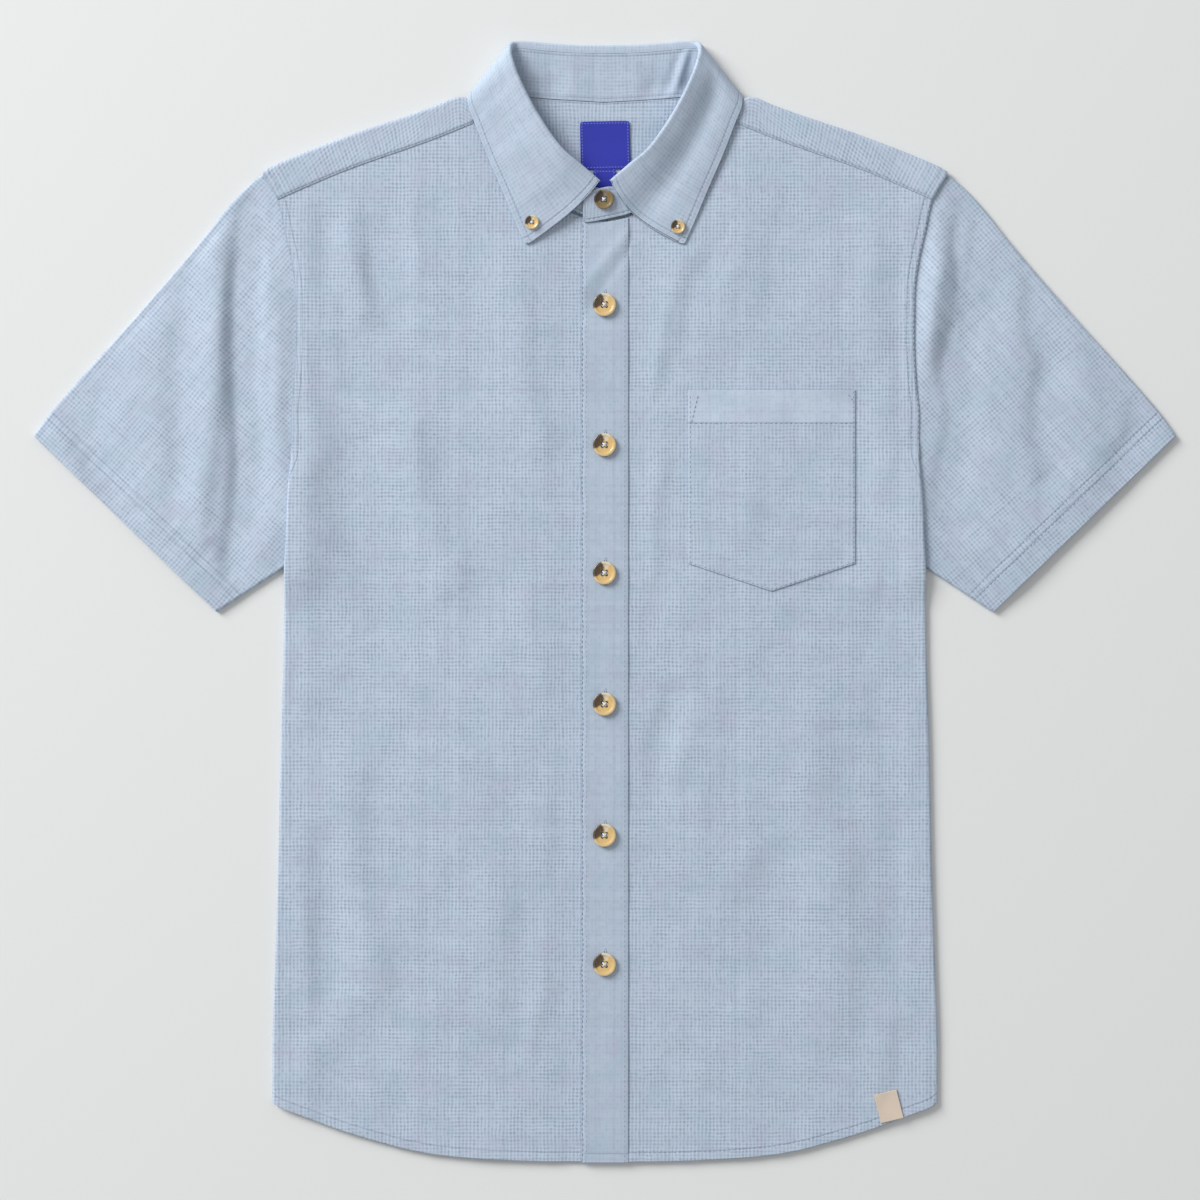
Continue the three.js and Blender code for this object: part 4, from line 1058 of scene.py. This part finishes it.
def button_mesh(name, radius, thick, hole, reach):
    """A horn button: dished middle, raised rim and four drilled holes."""
    profile = [(0, 0), (radius * 0.86, 0), (radius * 0.97, 0.35), (radius, 0.9),
               (radius, thick - 0.8), (radius * 0.98, thick - 0.3), (radius * 0.93, thick - 0.04),
               (radius * 0.87, thick), (radius * 0.81, thick - 0.06), (radius * 0.73, thick - 0.45),
               (radius * 0.62, thick - 0.75), (radius * 0.4, thick - 0.82), (0, thick - 0.84)]
    turns = 48
    places, faces = [(0, 0, 0)], []
    for r, z in profile[1:-1]:
        for k in range(turns):
            angle = 2 * math.pi * k / turns
            places.append((r * math.cos(angle), r * math.sin(angle), z))
    places.append((0, 0, profile[-1][1]))
    last = len(places) - 1
    for ring in range(len(profile) - 3):
        for k in range(turns):
            a, b = 1 + ring * turns + k, 1 + ring * turns + (k + 1) % turns
            faces.append((a, b, b + turns, a + turns))
    top = 1 + (len(profile) - 3) * turns
    for k in range(turns):
        faces.append((0, 1 + (k + 1) % turns, 1 + k))
        faces.append((last, top + k, top + (k + 1) % turns))
    body = new_object(name + " blank", new_mesh(name, places, faces))
    drills = []
    for x, y in ((1, 1), (1, -1), (-1, 1), (-1, -1)):
        bpy.ops.mesh.primitive_cylinder_add(vertices=20, radius=hole * MM, depth=0.012)
        drill = bpy.context.object
        drill.location = (x * reach * 0.75e-3, y * reach * 0.75e-3, 0.001)
        cut = body.modifiers.new("hole", "BOOLEAN")
        cut.operation, cut.solver, cut.object = "DIFFERENCE", "EXACT", drill
        drills.append(drill)
    bpy.context.view_layer.update()
    drilled = body.evaluated_get(bpy.context.evaluated_depsgraph_get())
    made = bpy.data.meshes.new_from_object(drilled)
    made.name = name
    for extra in [*drills, body]:
        bpy.data.objects.remove(extra)
    spots = np.zeros(len(made.vertices) * 3)
    made.vertices.foreach_get("co", spots)
    made.shade_smooth()
    made.set_sharp_from_angle(angle=math.radians(38))
    map_faces(made, "face", spots.reshape(-1, 3)[:, :2] / radius * 1000)
    return made


def thread_cross(name, reach, thick, wide=0.5, sides=6):
    """Thread that crosses over a button's four holes."""
    places, faces = [], []
    high, far = thick - 0.55, reach * 0.75
    stops = [(-far, high - 1.2), (-far * 0.75, high), (0, high + 0.3)]
    stops += [(-along, z) for along, z in stops[1::-1]]
    for turn in (1, -1):
        for strand in (-0.45, 0.45):
            first = len(places)
            for along, z in stops:
                x, y = along - strand * wide * 0.7, turn * (along + strand * wide * 0.7)
                for k in range(sides):
                    angle = 2 * math.pi * k / sides
                    out = wide / 2 * math.cos(angle) * 0.7
                    lift = wide / 2 * math.sin(angle) + 0.12 * (turn + 1)
                    places.append((x - out, y + turn * out, z + lift))
            for ring in range(len(stops) - 1):
                for k in range(sides):
                    a, b = first + ring * sides + k, first + ring * sides + (k + 1) % sides
                    faces.append((a, b, b + sides, a + sides)[::-turn])
            faces.append(tuple(first + k for k in range(sides))[::turn])
            faces.append(tuple(first + (len(stops) - 1) * sides + k for k in range(sides))[::-turn])
    return new_mesh(name, places, faces)


def cad_up(node):
    """Way the flat underside of a CAD button faces, turned up."""
    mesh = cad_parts[node].data
    best = max(mesh.polygons, key=lambda face: (-face.normal.z) * face.area)
    return (-best.normal).normalized()


def set_button(node, mesh, thread, thick):
    """Sews one button on where its solid lies, tilted as on the collar."""
    low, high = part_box(node)
    made, rise = new_object("horn " + node, mesh), low.z
    if not node.startswith("button"):
        made.rotation_mode = "QUATERNION"
        made.rotation_quaternion = Vector((0, 0, 1)).rotation_difference(cad_up(node))
        rise = (low.z + high.z) / 2 - thick / 2 * MM
    middle = (low + high) / 2
    made.location = (middle.x - BUTTON_SHIFT * MM, middle.y, rise - BUTTON_SINK * MM)
    made.scale = (BUTTON_SCALE, BUTTON_SCALE, 1.0)
    bpy.context.view_layer.update()
    bars = new_object("thread " + node, thread)
    bars.matrix_world = made.matrix_world
    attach(made, "root")
    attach(bars, "root")
    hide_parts(node)


def buttonhole(x, y, height, tall=19.0, wide=2.6, pitch=0.55):
    """Stitches set closely round a slit, with bars at both ends."""
    def spot(across, at):
        px, py = x + across, y + at
        return np.array((px, py, float(height(np.array(px), np.array(py)))))

    spans = [(side * 0.25, wide / 2 * side, -tall / 2 + k * pitch)
             for k in range(int(tall / pitch)) for side in (-1, 1)]
    spans += [(-wide / 2, wide / 2, at) for at in (-tall / 2 - 0.3, tall / 2 + 0.3)]
    return [(spot(near, at), spot(far, at), np.array((0, 0, 1.0))) for near, far, at in spans]


def length_value(name, description, default):
    return bpy.props.FloatProperty(
        name=name, description=description, default=default, unit="LENGTH")


def colour_value(name, description, *default):
    return bpy.props.FloatVectorProperty(
        name=name, description=description, default=default, subtype="COLOR")


class ShirtSizes(bpy.types.PropertyGroup):
    """Sizes that a user can change"""
    shell: length_value("Cloth thickness", "Thickness of the main cloth", 0.00075)
    weave: length_value("Weave square", "Width of one square of the weave", 0.00265)
    stitch: length_value("Stitch", "Length of one stitch", 0.0026)


class ShirtColours(bpy.types.PropertyGroup):
    """Colours that a user can change"""
    cloth: colour_value("Cloth", "Light threads of the cloth", 0.553, 0.645, 0.766)
    cloth_line: colour_value("Cloth lines", "Darker lines of the weave", 0.30, 0.37, 0.47)
    lilac: colour_value("Lilac threads", "Faint lilac among the threads", 0.47, 0.465, 0.60)
    teal: colour_value("Teal threads", "Faint teal among the threads", 0.34, 0.50, 0.58)
    button_thread: colour_value("Button thread", "Thread in the buttons", 0.76, 0.82, 0.90)
    thread: colour_value("Thread", "Sewing thread", 0.36, 0.43, 0.54)
    # Dark thread whose dashes stand in for the shadows of puckers along the placket edge and the
    # armhole seams: painted shade.
    shaded_thread: colour_value("Shaded thread", "Thread sunk in the cloth", 0.22, 0.27, 0.35)
    pale_thread: colour_value("Pale thread", "Stitches that hardly show", 0.47, 0.555, 0.675)
    label: colour_value("Label", "Neck label and size tab", 0.046, 0.056, 0.50)
    tab: colour_value("Hem tab", "Small tab at the hem", 0.80, 0.67, 0.55)
    horn_amber: colour_value("Amber horn", "Middle tone of the buttons", 0.50, 0.29, 0.10)
    horn_gold: colour_value("Gold horn", "Light tone of the buttons", 0.74, 0.51, 0.21)
    horn_dark: colour_value("Dark horn", "Dark sector of the buttons", 0.035, 0.02, 0.018)
    # This cream is the horn's pale streak and also the painted highlight on the button rims.
    horn_cream: colour_value("Cream streak", "Pale streak of the buttons", 0.80, 0.70, 0.52)
    floor: colour_value("Floor", "Floor under the shirt", 0.80, 0.81, 0.805)


class SHIRT_OT_back(bpy.types.Operator):
    """Lays the back panel on the table"""
    bl_idname = "shirt.back"
    bl_label = "Back panel"

    def execute(self, context):
        seams = [("foot", HEM_STITCH)]
        made = lay(back_cloth(), "back cloth", "back_panel", "back cloth", seams)
        return {"FINISHED"}


class SHIRT_OT_fronts(bpy.types.Operator):
    """Sews both fronts, rolled under at the sides"""
    bl_idname = "shirt.fronts"
    bl_label = "Fronts"

    def execute(self, context):
        for side, name in ((-1, "right"), (1, "left")):
            cloth = front_cloth(side)
            seams = [("foot", HEM_STITCH), ("end", 0.5), ("end", ARMHOLE_STITCH)]
            made = lay(cloth, name + " front", "front_" + name, name + " front cloth", seams)
            lines = [cloth.line("foot", HEM_STITCH), cloth.line("end", ARMHOLE_STITCH, 0.72, 1.0)]
            thread = finish_thread(sew(name + " front stitches", lines))
            # Painted shade: dark dashes along the armhole edge stand in for the shadow of the seam.
            hole = [cloth.line("end", 0.6, 0.72, 1.0)]
            seam = finish_thread(sew(name + " armhole seam", hole, 3.4, 0.6, 0.4), "shaded thread")
        return {"FINISHED"}


class SHIRT_OT_yoke(bpy.types.Operator):
    """Folds the yoke over the shoulders"""
    bl_idname = "shirt.yoke"
    bl_label = "Yoke"

    def execute(self, context):
        cloth = yoke_cloth()
        sides = ("start", "end")
        seams = [("head", 1.3)] + [(edge, away) for away in (0.5, ARMHOLE_STITCH) for edge in sides]
        made = lay(cloth, "shoulder yoke", "yoke", "yoke cloth", seams, YOKE_THICK)
        across = cloth.points[-1][:, 0]
        left, right = (float(np.argmax(across > at)) / (len(across) - 1) for at in (-96, 96))
        lines = [cloth.line("head", 1.5, 0, left), cloth.line("head", 1.5, right, 1)]
        lines += [cloth.line(edge, ARMHOLE_STITCH, 0.55, 1) for edge in sides]
        thread = finish_thread(sew("yoke stitches", lines))
        return {"FINISHED"}


class SHIRT_OT_sleeves(bpy.types.Operator):
    """Sews both sleeves as flat tubes with turned hems"""
    bl_idname = "shirt.sleeves"
    bl_label = "Sleeves"

    def execute(self, context):
        # Painted light: tone gives each sleeve its own copy of the cloth. It is lighter for the
        # right sleeve, which lies nearer the window light, than for the left.
        for side, name, tone in ((-1, "right", 1.03), (1, "left", 1.005)):
            cloth = sleeve_cloth(side)
            seams = [("head", away) for away in SLEEVE_STITCHES]
            made = lay(cloth, name + " sleeve", "sleeve_" + name, name + " sleeve cloth", seams,
                       plain=0.12, tone=tone)
            seen = cloth.upper / cloth.points.shape[1]
            lines = [cloth.line("head", away, 0, seen) for away in SLEEVE_STITCHES]
            thread = finish_thread(sew(name + " sleeve stitches", lines))
        return {"FINISHED"}


class SHIRT_OT_collar(bpy.types.Operator):
    """Sews the stand and rolls the leaf over it"""
    bl_idname = "shirt.collar"
    bl_label = "Collar"

    def execute(self, context):
        stand = stand_cloth()
        seams = [(edge, STAND_STITCH) for edge in ("head", "foot", "end")]
        made = lay(stand, "stand cloth", "collar_stand", "stand cloth", seams, plain=0.45)
        lines = [stand.line("head", STAND_STITCH), stand.line("foot", STAND_STITCH)]
        thread = finish_thread(sew("stand stitches", lines, wide=0.34))
        leaf = leaf_cloth()
        seams = [(edge, LEAF_STITCH) for edge in ("head", "start", "end")]
        made = lay(leaf, "leaf cloth", "collar_leaf", "leaf cloth", seams, LEAF_THICK,
                   plain=0.6, tone=1.02)
        lines = [leaf.line("head", LEAF_STITCH)]
        lines += [leaf.line(edge, LEAF_STITCH, 0.3, 1) for edge in ("start", "end")]
        thread = finish_thread(sew("leaf stitches", lines))
        return {"FINISHED"}


class SHIRT_OT_placket(bpy.types.Operator):
    """Sews the button band on the left front, with its buttonholes"""
    bl_idname = "shirt.placket"
    bl_label = "Placket"

    def execute(self, context):
        cloth = placket_cloth()
        seams = [("start", 0.2), ("foot", HEM_STITCH)]
        made = lay(cloth, "button band", "placket", "placket cloth", seams, BAND_THICK,
                   plain=0.8, tone=0.97)
        lines = [cloth.line("start", 2.8), cloth.line("end", 2.8)]
        thread = finish_thread(sew("placket stitches", lines), "pale thread")
        # Painted shade: dark dashes along the band's left edge stand in for the shadows of its
        # puckers.
        seam = sew("placket edge stitches", [cloth.line("start", 0.3)], 3.4, 0.3, 0.65)
        edge = finish_thread(seam, "shaded thread")
        holes = [part for y in FRONT_BUTTON_Y for part in buttonhole(0.2, y + 1.0, placket_height)]
        grains = thread_grains("placket buttonholes", holes, 0.5, 0.48, 0.58, 0.22, 0.2)
        stitches = finish_thread(grains)
        return {"FINISHED"}


class SHIRT_OT_pocket(bpy.types.Operator):
    """Sews the pointed chest pocket on the left front"""
    bl_idname = "shirt.pocket"
    bl_label = "Pocket"

    def execute(self, context):
        cloth = pocket_cloth()
        made = lay(cloth, "chest pocket", "pocket", "pocket cloth", [("head", POCKET_HEM)],
                   POCKET_THICK, plain=0.1, smooth_hem=POCKET_HEM)
        insets = (("start", 1.4), ("end", 1.4), ("foot", 1.4), ("head", POCKET_HEM))
        lines = [cloth.line(edge, inset) for edge, inset in insets]
        corners = []
        for foot, head, low in (
            (POCKET_LEFT + 2.2, POCKET_LEFT + 7.6, 24), (POCKET_RIGHT - 1.4, POCKET_RIGHT - 6.5, 8)
        ):
            ys = np.linspace(POCKET_TOP - low, POCKET_TOP - 1.5, 12)
            xs = np.linspace(foot, head, 12)
            row = np.stack([xs, ys, pocket_height(xs, ys) + 0.15], axis=-1)
            corners.append((row, np.array([(0, 0, 1.0)] * 12)))
        corner = finish_thread(sew("pocket corner stitches", corners, 3.0, 0.5, 0.5))
        thread = finish_thread(sew("pocket stitches", lines), "pale thread")
        return {"FINISHED"}


class SHIRT_OT_buttons(bpy.types.Operator):
    """Sews on the front, stand and point buttons"""
    bl_idname = "shirt.buttons"
    bl_label = "Buttons"

    def execute(self, context):
        # Painted shade: the stand button gets a darker copy of the amber horn, for a button lying
        # in the collar's shadow.
        amber, shadowed = horn_paint("amber horn"), horn_paint("brown horn", 0.34)
        meshes, bars = {}, {}
        for kind, (radius, thick, hole, reach) in BUTTONS.items():
            meshes[kind] = button_mesh(kind + " button", radius, thick, hole, reach)
            meshes[kind].materials.append(shadowed if kind == "stand" else amber)
            bars[kind] = thread_cross(kind + " button thread", reach, thick)
            bars[kind].materials.append(sewing("button thread"))
        places = [(f"button_{k + 1}", "front") for k in range(len(FRONT_BUTTON_Y))]
        places += [("stand_button", "stand")]
        places += [("collar_button_" + side, "point") for side in ("right", "left")]
        for node, kind in places:
            set_button(node, meshes[kind], bars[kind], BUTTONS[kind][1])
        return {"FINISHED"}


class SHIRT_OT_labels(bpy.types.Operator):
    """Sews the bare neck label, size tab and hem tab"""
    bl_idname = "shirt.labels"
    bl_label = "Labels"

    def execute(self, context):
        colours = context.scene.shirt_colours
        blue_dark, beige_dark = [c * 0.6 for c in colours.label], [c * 0.75 for c in colours.tab]
        blue = tape_paint("blue tape", colours.label, blue_dark, 0.0005)
        beige = tape_paint("beige tape", colours.tab, beige_dark, 0.0006, False)
        label = tab_cloth(NECK_LABEL, 0.1, -0.02)
        size = tab_cloth(SIZE_TAB, 0, 0)
        pieces = (
            ("blue neck label", label, blue, "neck_label", "label", (0.0358, 0.0344)),
            ("blue size tab", size, blue, "size_tab", "label", (0.0162, 0.0175)),
            ("beige hem tab", hem_tab_cloth(), beige, "hem_tab", "tab", (0.0167, 0.021)),
        )
        for name, cloth, paint, node, slot_name, flat in pieces:
            made = cloth.shell(name, TAPE_THICK)
            finish_cloth(made, paint, node)
        return {"FINISHED"}


class SHIRT_OT_stage(bpy.types.Operator):
    """Sets the plain floor, soft light and the camera looking straight down"""
    bl_idname = "shirt.stage"
    bl_label = "Stage"

    def execute(self, context):
        bpy.ops.mesh.primitive_plane_add(size=14.0, location=(0, 0, 0))
        floor = context.object
        floor.name = "floor"
        paint = Paint("floor")
        colour = context.scene.shirt_colours.floor
        floor.data.materials.append(paint.wear((*colour, 1), Roughness=0.9, Specular_IOR_Level=0.1))
        lights = (
            ("window light", (-4.35, 3.5, 3.2), 3.1, 430.0),
            ("overhead light", (0.3, -0.2, 2.6), 2.6, 4.0),
        )
        for name, spot, size, power in lights:
            data = bpy.data.lights.new(name, "AREA")
            data.shape, data.size, data.energy = "SQUARE", size, power
            lamp = bpy.data.objects.new(name, data)
            context.scene.collection.objects.link(lamp)
            lamp.location = spot
            lamp.rotation_euler = (-Vector(spot)).to_track_quat("-Z", "Y").to_euler()
        world = bpy.data.worlds.new("soft room")
        world.use_nodes = True
        sky = world.node_tree.nodes["Background"]
        sky.inputs[0].default_value, sky.inputs[1].default_value = (0.98, 0.99, 1.0, 1), 0.40
        context.scene.world = world
        context.scene.view_settings.view_transform = "Standard"
        lens, sensor, seen = 85.0, 36.0, 0.864
        data = bpy.data.cameras.new("camera")
        data.lens, data.sensor_width = lens, sensor
        camera = bpy.data.objects.new("camera", data)
        context.scene.collection.objects.link(camera)
        camera.location = (-0.0036, 0.0011, seen * lens / sensor + 0.004)
        context.scene.camera = camera
        return {"FINISHED"}


class SHIRT_PT_panel(bpy.types.Panel):
    """Sizes, colours and pieces of the shirt"""
    bl_idname = "SHIRT_PT_panel"
    bl_label = "Fishing shirt"
    bl_space_type = "VIEW_3D"
    bl_region_type = "UI"
    bl_category = "Shirt"

    def draw(self, context):
        for group in (context.scene.shirt_sizes, context.scene.shirt_colours):
            for key in group.__annotations__:
                self.layout.prop(group, key)
        for operator in OPERATORS:
            self.layout.operator(operator.bl_idname)


OPERATORS = (
    SHIRT_OT_back, SHIRT_OT_fronts, SHIRT_OT_yoke, SHIRT_OT_sleeves, SHIRT_OT_collar,
    SHIRT_OT_placket, SHIRT_OT_pocket, SHIRT_OT_buttons, SHIRT_OT_labels, SHIRT_OT_stage,
)
CLASSES = (ShirtSizes, ShirtColours, *OPERATORS, SHIRT_PT_panel)


def register():
    for kind in CLASSES:
        bpy.utils.register_class(kind)
    bpy.types.Scene.shirt_sizes = bpy.props.PointerProperty(type=ShirtSizes)
    bpy.types.Scene.shirt_colours = bpy.props.PointerProperty(type=ShirtColours)


def unregister():
    del bpy.types.Scene.shirt_sizes
    del bpy.types.Scene.shirt_colours
    for kind in reversed(CLASSES):
        bpy.utils.unregister_class(kind)


def main():
    register()
    bpy.ops.shirt.back()
    bpy.ops.shirt.fronts()
    bpy.ops.shirt.yoke()
    bpy.ops.shirt.sleeves()
    bpy.ops.shirt.collar()
    bpy.ops.shirt.placket()
    bpy.ops.shirt.pocket()
    bpy.ops.shirt.buttons()
    bpy.ops.shirt.labels()
    bpy.ops.shirt.stage()


if __name__ == "__main__":
    main()
